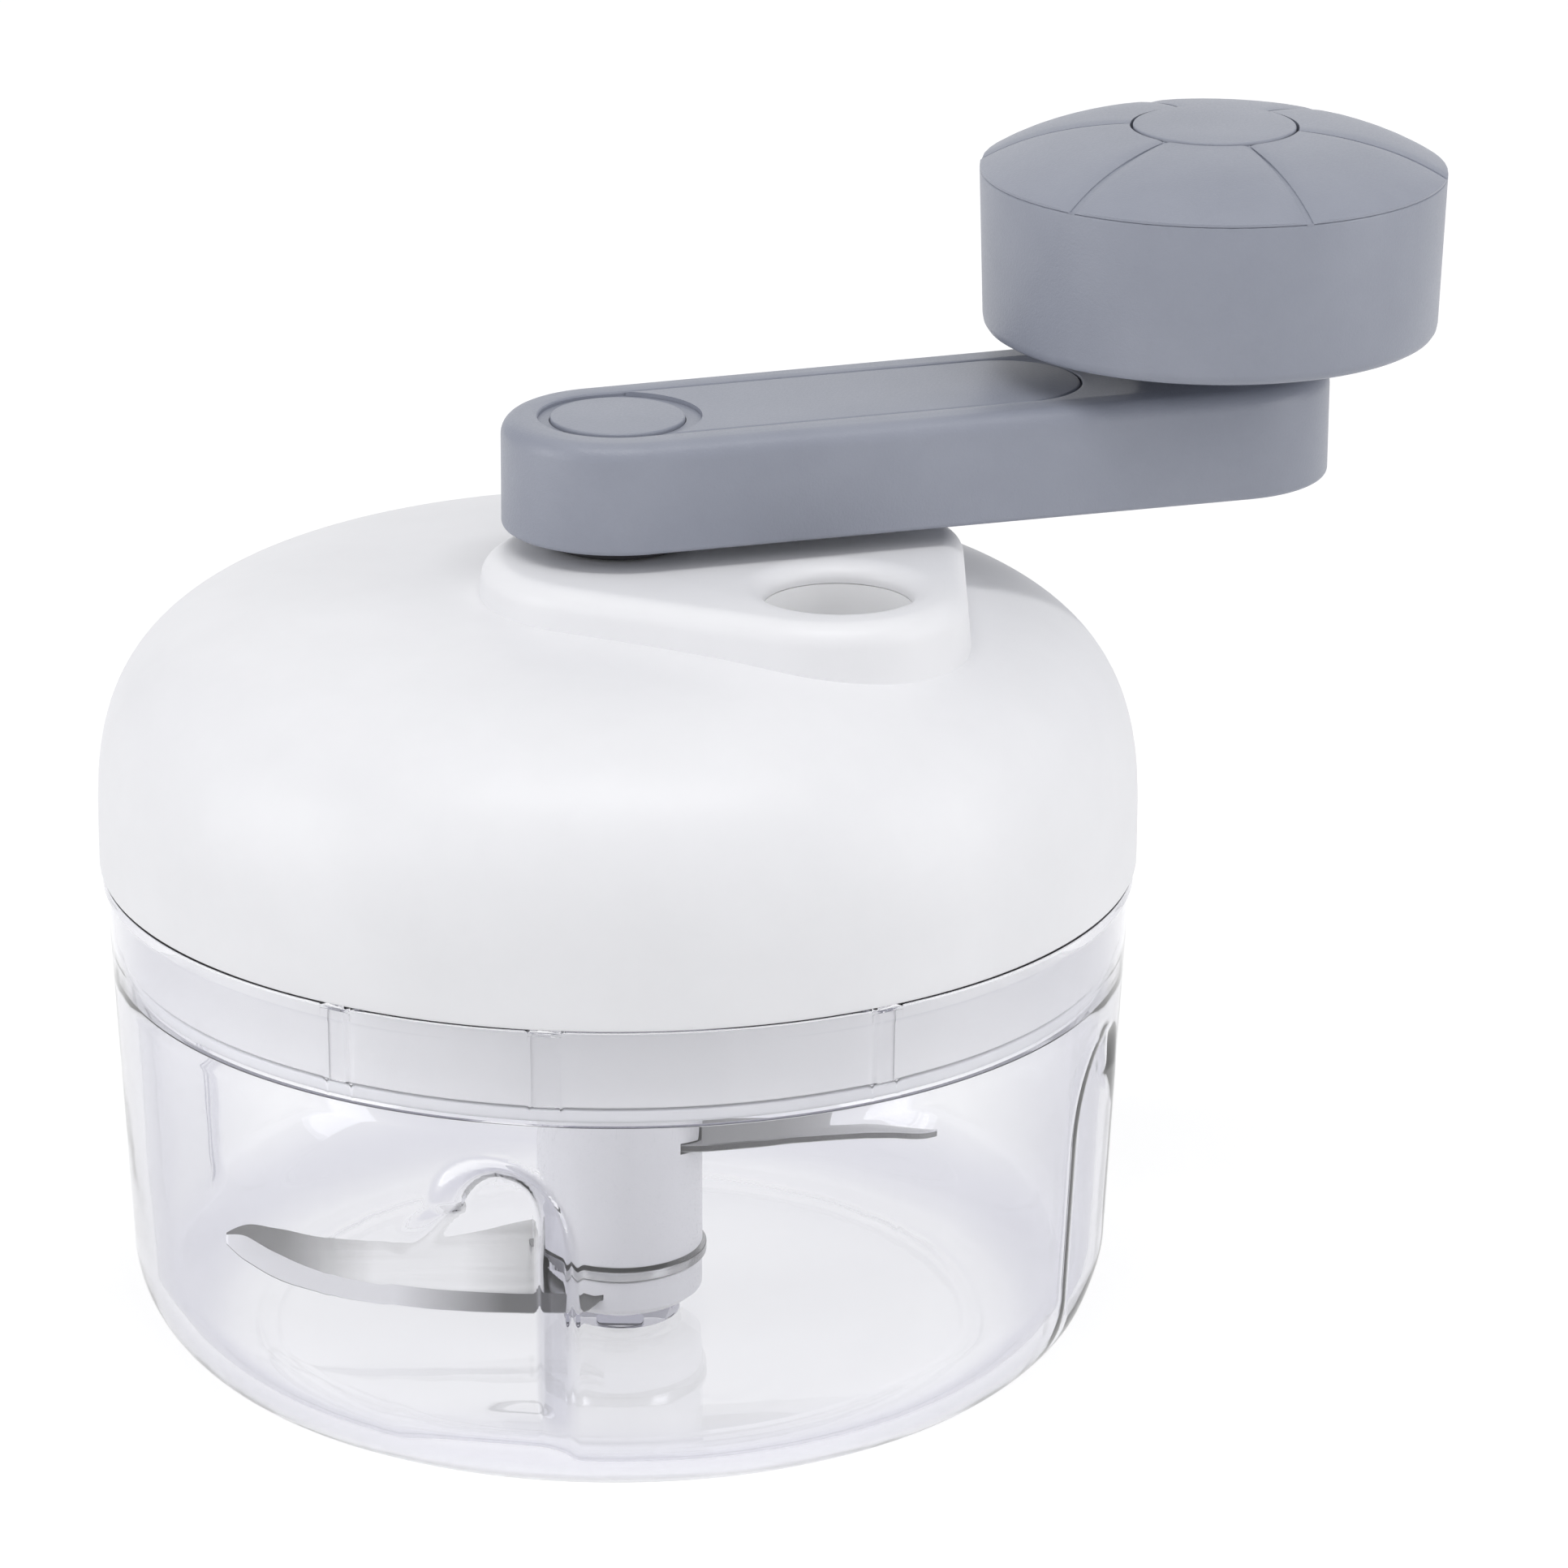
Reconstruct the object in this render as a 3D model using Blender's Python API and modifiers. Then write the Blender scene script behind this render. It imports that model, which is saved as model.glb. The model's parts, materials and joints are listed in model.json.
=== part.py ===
"""Hand-cranked garlic chopper, modelled in metres with +Z up.

The origin is the centre of the bowl's flat base. A crank on the lid turns a planet carrier,
three planets roll inside a fixed ring gear and drive a sun gear four times as fast, and the
sun gear's hexagonal shaft turns the blade hub, which stands on a steel pin in the bowl.
"""

import math

import bmesh
import bpy

MM = 0.001

# Bowl
BASE_R = 44.2 * MM
CORNER_CENTRE_R = 45.0 * MM
CORNER_Z = 14.2 * MM
WALL_FOOT_R = 59.2 * MM
WALL_TOP_R = 61.5 * MM
WALL_TOP_Z = 59.4 * MM
RIM_R = 61.9 * MM
RIM_Z = 61.4 * MM
FLOOR_Z = 2.4 * MM
WALL = 2.4 * MM
COLLAR_WALL = 1.3 * MM
LEDGE_Z = 49.3 * MM
POST_R = 5.2 * MM
POST_Z = 4.4 * MM

# Flutes in the bowl wall: angle of the steep edge, and the side its hook turns to
FLUTES = ((265.7, -1), (333.0, 1), (85.7, -1), (153.0, 1))
FLUTE_R = 60.0 * MM
FLUTE_DEPTH = 2.8 * MM
FLUTE_STEP = 5.8 * MM
FLUTE_RUN = 23.5 * MM
HOOK_FOOT_Z = 32.0 * MM
HOOK_TOP_Z = 45.3 * MM
HOOK_MID = 10.0 * MM
HOOK_END = 18.2 * MM
HOOK_END_Z = 37.8 * MM

# Keys that hold the lid from turning in the bowl
KEY_ANGLES = (238.0, 262.0, 300.0, 58.0, 82.0, 120.0)
KEY_WIDTH = 2.6 * MM
KEY_R = 58.9 * MM
KEY_FOOT_Z = 51.8 * MM
KEY_TOP_Z = 60.4 * MM

# Pieces that face each other keep this gap
GAP = 0.3 * MM

# Lid dome
LID_R = 62.2 * MM
LID_FOOT_Z = 61.7 * MM
SHOULDER_Z = 66.8 * MM
DOME_H = 28.5 * MM
LID_WALL = 1.8 * MM

# Teardrop platform on the dome: circles round the crank, round the port and behind the port
PLATFORM_Z = 100.0 * MM
PLATFORM = ((0.8 * MM, -4.6 * MM, 17.5 * MM), (24.9 * MM, -17.9 * MM, 16.35 * MM),
            (30.0 * MM, 4.0 * MM, 11.7 * MM))
PLATFORM_FOOT_Z = 88.0 * MM
PLATFORM_FILLET = 2.6 * MM
PLATFORM_DRAFT = 0.5 * MM
PLATE_TOP = 2.0 * MM
PORT_XY = (25.6 * MM, -17.5 * MM)
PORT_R = 9.8 * MM
TUBE_R = 9.5 * MM
TUBE_BORE_R = 8.7 * MM
TUBE_FLANGE_R = 10.5 * MM

# Lid base, seal and screws
SKIRT_R = 59.0 * MM
FLANGE_R = 60.0 * MM
SKIRT_WALL = 1.6 * MM
SKIRT_FOOT_Z = 51.5 * MM
LIP_FOOT_Z = 50.0 * MM
SKIRT_TOP_Z = 66.0 * MM
PLATE_Z = 52.0 * MM
PLATE = 2.0 * MM
LIP_R = 57.3 * MM
LIP_WALL = 0.9 * MM
FLANGE_FOOT_Z = 62.0 * MM
FLANGE_TOP_Z = 63.6 * MM
JOURNAL_FOOT_Z = 49.8 * MM
JOURNAL_R = 7.0 * MM
SCREW_BOSS_R = 3.0 * MM
SCREW_HOLE_R = 1.5 * MM
BOSS_FOOT_Z = 54.4 * MM
BOSS_TOP_Z = 90.5 * MM
PILOT_TOP_Z = 65.5 * MM
LID_SCREW_R = 47.0 * MM
LID_SCREW_ANGLES = (100.0, 220.0, 340.0)

# Planetary gears, module 0.8, with 12, 12 and 36 teeth
MODULE = 0.8 * MM
PRESSURE = math.radians(25.0)
PLANET_TEETH = 12
SUN_TEETH = 12
RING_TEETH = 36
BACKLASH = 0.1 * MM
GEAR_ORBIT = MODULE * (SUN_TEETH + PLANET_TEETH) / 2
PINION_FLANK = (3.75 * MM, MODULE * SUN_TEETH / 2, 5.6 * MM)
RING_FLANK = (13.7 * MM, 15.45 * MM)
PLANET_PIN_R = 1.3 * MM
GEAR_FOOT_Z = 56.6 * MM
GEAR_TOP_Z = 64.6 * MM
PLANET_ANGLES = (0.0, 120.0, 240.0)
GEARBOX_R = 18.0 * MM
GEARBOX_FOOT_Z = 54.3 * MM
GEARBOX_TOP_Z = 68.0 * MM
LUG_ORBIT = 19.0 * MM
LUG_SCREW_ORBIT = 19.6 * MM
LUG_R = 2.8 * MM
LUG_HOLE_R = 1.3 * MM
LUG_ANGLES = (40.0, 160.0, 280.0)
LUG_STEPS = 42

# Shafts and crank
SHAFT_R = 4.0 * MM
SHAFT_TOP_Z = 108.7 * MM
SHAFT_PILOT_R = 1.6 * MM
PILOT_DEPTH = 10.0 * MM
HEXAGON_R = 3.9 * MM
HEXAGON_GAP = 0.35 * MM
CARRIER_R = 13.0 * MM
OUTPUT_R = 3.7 * MM
OUTPUT_HEXAGON_R = 3.6 * MM
BUSH_R = 8.4 * MM
BUSH_HOLE_R = 6.0 * MM
BUSH_TOP_Z = 101.6 * MM
BUSH_FOOT_Z = 91.0 * MM
CRANK_SCREW = (3.4 * MM, 2.4 * MM, 1.3 * MM, 12.0 * MM)
ARM_LENGTH = 75.0 * MM
ARM_ANGLE = math.radians(17.5)
ARM_R = 13.8 * MM
ARM_END_R = 14.7 * MM
ARM_FOOT_Z = 102.4 * MM
ARM_TOP_Z = 115.7 * MM
ARM_FILLET = 2.4 * MM
CAP_R = 8.0 * MM
PANEL_R = 9.2 * MM
PANEL_HOLLOW_R = 10.0 * MM
PANEL_END = 57.7 * MM
BOSS_R = 7.4 * MM
NECK_R = 9.0 * MM
WELL_R = 5.2 * MM
WELL_Z = 109.0 * MM
WELL_STEP_Z = 113.0 * MM

# Knob at the end of the arm
KNOB_X = ARM_LENGTH * math.cos(ARM_ANGLE)
KNOB_Y = ARM_LENGTH * math.sin(ARM_ANGLE)
KNOB_R = 28.05 * MM
KNOB_FOOT_R = 27.4 * MM
KNOB_WALL = 3.0 * MM
KNOB_FOOT_Z = 120.2 * MM
KNOB_RIM_Z = 139.7 * MM
KNOB_TOP_Z = 145.4 * MM
DISC_R = 9.8 * MM
PETALS = 6
PETAL_PHASE = 49.2
AXLE_R = 3.5 * MM
AXLE_FOOT_Z = 106.0 * MM
AXLE_TOP_Z = 130.0 * MM

# Blade hub and blades
HUB_R = 10.1 * MM
HUB_FOOT_Z = 11.3 * MM
HUB_TOP_Z = 48.0 * MM
CAP_FOOT_Z = 4.7 * MM
SPIGOT_R = 5.8 * MM
SPIGOT_TOP_Z = 14.2 * MM
PIN_R = 2.0 * MM
PIN_FOOT_Z = 1.6 * MM
PIN_TOP_Z = 15.2 * MM
LOWER_BLADE_Z = 10.4 * MM
UPPER_BLADE_Z = 24.5 * MM
BLADE_THICK = 1.0 * MM
RING_THICK = 1.2 * MM
RING_R = 10.6 * MM
BLADE_EDGE = 0.15 * MM

# Lower blade outline: distance out, back edge, start of the bevel, cutting edge, share of the pitch
LOWER_BLADE = (
    (-2.0, -6.0, 4.6, 6.6, 0.0),
    (1.0, -5.6, 6.8, 9.0, 0.5),
    (4.5, -5.0, 8.8, 11.0, 1.0),
    (10.0, -3.8, 8.9, 11.0, 1.0),
    (17.0, -1.8, 8.6, 10.8, 1.0),
    (24.5, -0.4, 7.9, 10.1, 1.0),
    (31.0, -0.3, 6.8, 9.0, 1.0),
    (37.0, -1.0, 4.9, 7.2, 1.0),
    (42.0, -2.2, 2.0, 5.0, 1.0),
    (46.0, -3.0, -0.8, 2.0, 1.0),
    (48.4, -1.6, -1.1, -0.6, 1.0),
)
LOWER_PITCH = 0.37

# Upper blade outline, in the same columns
UPPER_BLADE = (
    (-2.0, -5.0, 5.0, 6.4, 1.0),
    (6.0, -6.6, 6.8, 8.6, 1.0),
    (10.6, -6.7, 7.8, 9.8, 1.0),
    (16.0, -4.8, 8.0, 10.2, 1.0),
    (21.7, -2.1, 7.2, 9.4, 1.0),
    (27.7, -0.4, 5.6, 7.8, 1.0),
    (33.0, 0.0, 3.6, 5.6, 1.0),
    (36.6, -0.3, 2.0, 3.6, 1.0),
    (38.8, 1.2, 1.6, 2.0, 1.0),
)
UPPER_PITCH = 0.17


def new_collection(name):
    collection = bpy.data.collections.new(name)
    bpy.context.scene.collection.children.link(collection)
    return collection


def material(name, colour, roughness, metallic=0.0, clear=False):
    mat = bpy.data.materials.new(name)
    mat.use_nodes = True
    mat.diffuse_color = (*colour, 1.0)
    shader = mat.node_tree.nodes["Principled BSDF"]
    shader.inputs["Base Color"].default_value = (*colour, 1.0)
    shader.inputs["Roughness"].default_value = roughness
    shader.inputs["Metallic"].default_value = metallic
    if clear:
        shader.inputs["Transmission Weight"].default_value = 1.0
        shader.inputs["IOR"].default_value = 1.5
    return mat


def add_object(name, mesh, mat, sharp_angle=35.0):
    """Links a mesh as a part, shaded smooth between its sharp edges."""
    mesh.materials.clear()
    mesh.materials.append(mat)
    mesh.shade_smooth()
    mesh.set_sharp_from_angle(angle=math.radians(sharp_angle))
    obj = bpy.data.objects.new(name, mesh)
    PARTS.objects.link(obj)
    return obj


def evaluated_mesh(obj):
    """A plain mesh of an object with its modifiers, whose seams are welded."""
    bpy.context.view_layer.update()
    graph = bpy.context.evaluated_depsgraph_get()
    mesh = bpy.data.meshes.new_from_object(obj.evaluated_get(graph))
    bm = bmesh.new()
    bm.from_mesh(mesh)
    bmesh.ops.remove_doubles(bm, verts=bm.verts, dist=0.001 * MM)
    bm.to_mesh(mesh)
    bm.free()
    mesh.transform(obj.matrix_world)
    return mesh


def turned(name, profile, mat, steps=32, centre=(0.0, 0.0), ring=False):
    """A profile of radius and height turned round Z. It runs down its outer side."""
    mesh = bpy.data.meshes.new(name)
    edges = [(i, i + 1) for i in range(len(profile) - 1)]
    if ring:
        edges.append((len(profile) - 1, 0))
    mesh.from_pydata([(r, 0.0, z) for r, z in profile], edges, [])
    guide = bpy.data.objects.new(name + "_profile", mesh)
    PARTS.objects.link(guide)
    screw = guide.modifiers.new("turn", "SCREW")
    screw.steps = steps
    screw.render_steps = steps
    screw.use_merge_vertices = True
    screw.merge_threshold = 0.001 * MM
    solid = evaluated_mesh(guide)
    bpy.data.objects.remove(guide)
    obj = add_object(name, solid, mat)
    obj.location = (centre[0], centre[1], 0.0)
    return obj


def extruded(name, loops, foot, top, mat):
    """Flat outlines, the inner ones holes, between two heights."""
    curve = bpy.data.curves.new(name, "CURVE")
    curve.dimensions = "2D"
    curve.fill_mode = "BOTH"
    curve.extrude = (top - foot) / 2
    for loop in loops:
        spline = curve.splines.new("POLY")
        spline.points.add(len(loop) - 1)
        for point, (x, y) in zip(spline.points, loop):
            point.co = (x, y, 0.0, 1.0)
        spline.use_cyclic_u = True
    guide = bpy.data.objects.new(name + "_outline", curve)
    PARTS.objects.link(guide)
    guide.location = (0.0, 0.0, (foot + top) / 2)
    solid = evaluated_mesh(guide)
    bpy.data.objects.remove(guide)
    return add_object(name, solid, mat)


def wrapped(name, rows, mat):
    """A grid of points wrapped into a closed solid. Each row is a closed ring of points."""
    columns = len(rows[0])
    bm = bmesh.new()
    bmesh.ops.create_grid(bm, x_segments=columns, y_segments=len(rows) - 1, size=1.0)
    for vert in bm.verts:
        column = round((vert.co.x + 1.0) / 2.0 * columns) % columns
        row = round((vert.co.y + 1.0) / 2.0 * (len(rows) - 1))
        vert.co = rows[row][column]
    bmesh.ops.remove_doubles(bm, verts=bm.verts, dist=0.002 * MM)
    bmesh.ops.holes_fill(bm, edges=bm.edges, sides=0)
    bmesh.ops.recalc_face_normals(bm, faces=bm.faces)
    bmesh.ops.triangulate(bm, faces=bm.faces)
    mesh = bpy.data.meshes.new(name)
    bm.to_mesh(mesh)
    bm.free()
    return add_object(name, mesh, mat)


def boolean(obj, other, operation):
    """Cuts or joins an object with another, which becomes a hidden cutter."""
    for collection in list(other.users_collection):
        collection.objects.unlink(other)
    CUTTERS.objects.link(other)
    other.hide_render = True
    other.display_type = "WIRE"
    modifier = obj.modifiers.new(operation.lower(), "BOOLEAN")
    modifier.operation = operation
    modifier.solver = "EXACT"
    modifier.object = other


def cut(obj, other):
    boolean(obj, other, "DIFFERENCE")


def join(obj, other):
    boolean(obj, other, "UNION")


def polar(radius, degrees):
    angle = math.radians(degrees)
    return radius * math.cos(angle), radius * math.sin(angle)


def arc(centre, radius, start, end, count):
    """Points on an arc, both ends included, with the angles in radians."""
    step = (end - start) / (count - 1)
    angles = [start + step * i for i in range(count)]
    return [(centre[0] + radius * math.cos(a), centre[1] + radius * math.sin(a)) for a in angles]


def circle(centre, radius, count):
    return arc(centre, radius, 0.0, 2 * math.pi * (count - 1) / count, count)


def tangent(first, second):
    """The outward direction where the outline leaves one circle for the next."""
    dx, dy = second[0] - first[0], second[1] - first[1]
    return math.atan2(dy, dx) - math.acos((first[2] - second[2]) / math.hypot(dx, dy))


def hull(circles, count, inset=0.0):
    """The outline round a few circles and their common tangents, moved inwards by inset."""
    outline = []
    for index, (x, y, radius) in enumerate(circles):
        start = tangent(circles[index - 1], circles[index])
        end = tangent(circles[index], circles[(index + 1) % len(circles)])
        sweep = (end - start) % (2 * math.pi)
        points = max(2, round(count * sweep / (2 * math.pi)) + 1)
        outline += arc((x, y), radius - inset, start, start + sweep, points)
    return outline


def pillow(name, circles, count, levels, mat):
    """A block on the outline round a few circles, whose inset changes with its height."""
    rows = [[(x, y, z) for x, y in hull(circles, count, inset)] for inset, z in levels]
    return wrapped(name, rows, mat)


def filleted(foot, top, radius, count):
    """Levels of a block whose upper edge is round."""
    turns = [math.pi / 2 * i / (count - 1) for i in range(count)]
    fillet = [(radius * (1 - math.cos(a)), top - radius * (1 - math.sin(a))) for a in turns]
    return [(0.0, foot)] + fillet


def cylinder(name, centre, radius, foot, top, mat, steps=24):
    bm = bmesh.new()
    bmesh.ops.create_cone(bm, cap_ends=True, segments=steps, radius1=radius, radius2=radius,
                          depth=top - foot)
    bmesh.ops.translate(bm, verts=bm.verts, vec=(0.0, 0.0, (foot + top) / 2))
    mesh = bpy.data.meshes.new(name)
    bm.to_mesh(mesh)
    bm.free()
    obj = add_object(name, mesh, mat)
    obj.location = (centre[0], centre[1], 0.0)
    return obj


def smooth(value):
    """Rises from 0 to 1 with level ends."""
    value = min(max(value, 0.0), 1.0)
    return value * value * (3.0 - 2.0 * value)


def flute_depth(angle, z):
    """How far the bowl wall steps inwards at an angle in degrees and a height."""
    depth = 0.0
    for line, side in FLUTES:
        along = math.radians((angle - line + 180.0) % 360.0 - 180.0) * side * FLUTE_R
        if not 0.0 < along < FLUTE_RUN:
            continue
        inside = along
        rise = HOOK_TOP_Z - HOOK_FOOT_Z
        if along <= HOOK_MID and z > HOOK_FOOT_Z:
            up = (z - HOOK_FOOT_Z) / rise
            reach = HOOK_MID + (rise - HOOK_MID) * up
            inside = (1.0 - math.hypot((along - HOOK_MID) / HOOK_MID, up)) * reach
        elif along > HOOK_MID and z > HOOK_END_Z:
            drop = HOOK_TOP_Z - HOOK_END_Z
            over = (along - HOOK_MID) / (HOOK_END - HOOK_MID)
            inside = (1.0 - math.hypot(over, (z - HOOK_END_Z) / drop)) * drop
        run_out = 1.0 - smooth((along - FLUTE_STEP) / (FLUTE_RUN - FLUTE_STEP))
        foot = smooth((z - 3.5 * MM) / (6.0 * MM))
        depth = max(depth, FLUTE_DEPTH * smooth(inside / FLUTE_STEP) * run_out * foot)
    return depth


def bowl_angles():
    """Angles round the bowl: close together across each flute, and wide apart between them."""
    offsets = [-0.8, 1.6, 3.8, 6.2, 11.0, 16.0, 23.5]
    angles = []
    for line, side in FLUTES:
        angles += [(line + side * math.degrees(o * MM / FLUTE_R)) % 360.0 for o in offsets]
    angles.sort()
    filled = []
    for first, second in zip(angles, angles[1:] + [angles[0] + 360.0]):
        parts = max(1, round((second - first) / 14.0))
        filled += [first + (second - first) * i / parts for i in range(parts)]
    return filled


def wall_radius(z):
    """The bowl's outer radius at a height above its rounded corner."""
    share = (z - CORNER_Z) / (WALL_TOP_Z - CORNER_Z)
    return WALL_FOOT_R + (WALL_TOP_R - WALL_FOOT_R) * share


def bowl_profile():
    """Radius and height from the middle of the base, up outside and down inside."""
    fluted = [29.0, 34.2, 38.6, 42.2, 45.6]
    outer_corner = arc((CORNER_CENTRE_R, CORNER_Z), CORNER_Z, math.radians(-70), 0.0, 4)
    profile = [(0.0, 0.0), (BASE_R, 0.0)] + outer_corner
    profile += [(wall_radius(z * MM), z * MM) for z in fluted]
    profile += [(WALL_TOP_R, WALL_TOP_Z), (RIM_R, WALL_TOP_Z + 0.5 * MM), (RIM_R, RIM_Z)]
    profile += [(WALL_TOP_R - COLLAR_WALL + 0.1 * MM, RIM_Z)]
    profile += [(wall_radius(LEDGE_Z) - COLLAR_WALL, LEDGE_Z)]
    profile += [(wall_radius(LEDGE_Z) - WALL, LEDGE_Z)]
    profile += [(wall_radius(z * MM) - WALL, z * MM) for z in reversed(fluted)]
    inner_r = CORNER_Z - FLOOR_Z
    profile += arc((CORNER_CENTRE_R, CORNER_Z), inner_r, 0.0, math.radians(-90), 4)
    profile += [(0.0, FLOOR_Z)]
    return profile


def make_bowl():
    rows = []
    for r, z in bowl_profile():
        ring = []
        for angle in bowl_angles():
            inset = flute_depth(angle, z) if r > CORNER_CENTRE_R + 2.0 * MM else 0.0
            ring.append((*polar(r - inset, angle), z))
        rows.append(ring)
    bowl = wrapped("bowl", rows, CLEAR)
    root_z = FLOOR_Z - 0.4 * MM
    post = [(0.0, POST_Z), (POST_R, POST_Z), (POST_R + 0.8 * MM, FLOOR_Z + 1.0 * MM)]
    post += [(POST_R + 2.2 * MM, root_z), (0.0, root_z)]
    join(bowl, turned("bowl_post", post, CLEAR, 14))
    for number, angle in enumerate(KEY_ANGLES):
        join(bowl, key_block(f"bowl_key_{number}", angle, KEY_WIDTH, KEY_R, 60.6 * MM, KEY_FOOT_Z,
                             KEY_TOP_Z))
    cut(bowl, cylinder("pin_hole", (0, 0), PIN_R + GAP, PIN_FOOT_Z - GAP, 2 * POST_Z, CLEAR, 10))
    pin = [(0.0, PIN_TOP_Z), (PIN_R - 0.7 * MM, PIN_TOP_Z), (PIN_R, PIN_TOP_Z - 0.8 * MM)]
    pin += [(PIN_R, PIN_FOOT_Z), (0.0, PIN_FOOT_Z)]
    turned("pivot_pin", pin, STEEL, 12)


def key_block(name, angle, width, inner, outer, foot, top):
    """A small upright block at an angle, between two radii."""
    corners = [(inner, -width / 2), (outer, -width / 2), (outer, width / 2), (inner, width / 2)]
    return extruded(name, [turn_points(corners, math.radians(angle))], foot, top, CLEAR)


def dome_profile(inset, radii, foot):
    """The dome from its crown out and down, moved inwards by inset, and closed below."""
    outer = LID_R - inset
    height = DOME_H - inset
    profile = [(0.0, SHOULDER_Z + height)]
    for share in radii:
        rise = height * (1.0 - share ** 5) ** (1 / 2.75)
        profile.append((outer * share, SHOULDER_Z + rise))
    profile += [(outer, foot), (0.0, foot)]
    return profile


def make_lid_shell():
    radii = (0.4, 0.66, 0.82, 0.92, 0.97, 0.993, 1.0)
    shell = turned("lid_shell", dome_profile(0.0, radii, LID_FOOT_Z), WHITE, 40)
    fillet = filleted(PLATFORM_FOOT_Z, PLATFORM_Z, PLATFORM_FILLET, 3)[1:]
    levels = [(0.0, PLATFORM_FOOT_Z)] + [(PLATFORM_DRAFT + inset, z) for inset, z in fillet]
    join(shell, pillow("platform", PLATFORM, 30, levels, WHITE))
    inner_radii = (0.55, 0.82, 0.95, 1.0)
    cut(shell, turned("dome_inside", dome_profile(LID_WALL, inner_radii, LID_FOOT_Z - 2 * MM),
                      WHITE, 30))
    side = LID_WALL + PLATFORM_DRAFT
    ceiling = PLATFORM_Z - PLATE_TOP
    pocket = [(side, PLATFORM_FOOT_Z - 1.0 * MM), (side, ceiling - 1.9 * MM), (side + 1.5 * MM, ceiling)]
    cut(shell, pillow("platform_inside", PLATFORM, 18, pocket, WHITE))
    above = PLATFORM_Z + 3.0 * MM
    cut(shell, cylinder("port_hole", PORT_XY, PORT_R, SHOULDER_Z, above, WHITE, 24))
    cut(shell, cylinder("bush_hole", (0, 0), BUSH_HOLE_R, PLATFORM_FOOT_Z, above, WHITE, 16))
    for number, angle in enumerate(LID_SCREW_ANGLES):
        place = polar(LID_SCREW_R, angle)
        join(shell, cylinder(f"boss_{number}", place, SCREW_BOSS_R, BOSS_FOOT_Z, BOSS_TOP_Z, WHITE, 8))
        cut(shell, cylinder(f"pilot_{number}", place, SCREW_HOLE_R, LEDGE_Z, PILOT_TOP_Z, WHITE, 8))


def make_filler_tube():
    top = PLATFORM_Z
    flange_z = BOSS_FOOT_Z - 0.1 * MM
    profile = [(TUBE_BORE_R + 0.3 * MM, top), (TUBE_R - 0.2 * MM, top), (TUBE_R, top - 0.3 * MM)]
    profile += [(TUBE_R, flange_z + 1.3 * MM), (TUBE_FLANGE_R, flange_z + 1.1 * MM)]
    profile += [(TUBE_FLANGE_R, flange_z), (TUBE_BORE_R, flange_z), (TUBE_BORE_R, top - 1.0 * MM)]
    turned("filler_tube", profile, WHITE, 24, PORT_XY, ring=True)


def make_lid_base():
    inner = SKIRT_R - SKIRT_WALL
    plate_top = PLATE_Z + PLATE
    bore = OUTPUT_R + GAP
    profile = [(inner, SKIRT_TOP_Z), (SKIRT_R, SKIRT_TOP_Z), (FLANGE_R, FLANGE_TOP_Z)]
    profile += [(FLANGE_R, FLANGE_FOOT_Z), (SKIRT_R, FLANGE_FOOT_Z)]
    profile += [(SKIRT_R, SKIRT_FOOT_Z), (LIP_R, SKIRT_FOOT_Z), (LIP_R, LIP_FOOT_Z)]
    profile += [(LIP_R - LIP_WALL, LIP_FOOT_Z), (LIP_R - LIP_WALL, PLATE_Z)]
    profile += [(JOURNAL_R, PLATE_Z), (JOURNAL_R, JOURNAL_FOOT_Z), (bore, JOURNAL_FOOT_Z)]
    profile += [(bore, plate_top), (inner, plate_top)]
    base = turned("lid_base", profile, WHITE, 30, ring=True)
    below = JOURNAL_FOOT_Z - 2.0 * MM
    above = plate_top + 2.0 * MM
    cut(base, cylinder("base_port", PORT_XY, TUBE_BORE_R, below, above, WHITE, 20))
    for number, angle in enumerate(LUG_ANGLES):
        place = polar(LUG_SCREW_ORBIT, angle)
        join(base, cylinder(f"base_boss_{number}", place, 2.6 * MM, PLATE_Z - 2.4 * MM,
                            PLATE_Z + 1.0 * MM, WHITE, 8))
        cut(base, cylinder(f"base_pilot_{number}", place, LUG_HOLE_R, PLATE_Z - 1.4 * MM, above,
                           WHITE, 8))
    for number, angle in enumerate(LID_SCREW_ANGLES):
        place = polar(LID_SCREW_R, angle)
        cut(base, cylinder(f"base_hole_{number}", place, SCREW_HOLE_R, below, above, WHITE, 8))
        screw(f"base_screw_{number + 1}", place, PLATE_Z - 1.6 * MM, 2.6 * MM, 1.3 * MM, 1.2 * MM,
              13.0 * MM, -1)
    for number, angle in enumerate(KEY_ANGLES):
        cut(base, key_block(f"slot_{number}", angle, KEY_WIDTH + 2 * GAP, KEY_R - GAP, RIM_R,
                            SKIRT_FOOT_Z - 1.0 * MM, KEY_TOP_Z + GAP))
    seal_r = SKIRT_R - 0.1 * MM
    seal_top, seal_foot = SKIRT_FOOT_Z - GAP, LEDGE_Z + GAP
    seal = [(seal_r, seal_top), (seal_r, seal_foot), (LIP_R + GAP, seal_foot), (LIP_R + GAP, seal_top)]
    turned("lid_seal", seal, SILICONE, 30, ring=True)


def screw(name, place, head_z, head_r, head_h, shank_r, length, side):
    """A pan-head screw. Its head's outer face is at head_z, and it points down where side is 1."""
    outline = [(0.0, 0.0), (head_r * 0.7, 0.0), (head_r, head_h * 0.5), (head_r, head_h)]
    outline += [(shank_r, head_h), (shank_r, length), (0.0, length)]
    profile = [(r, -z) for r, z in outline]
    obj = turned(name, profile, STEEL, 7, place)
    obj.location.z = head_z
    if side < 0:
        obj.rotation_euler.x = math.pi
    return obj


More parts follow.
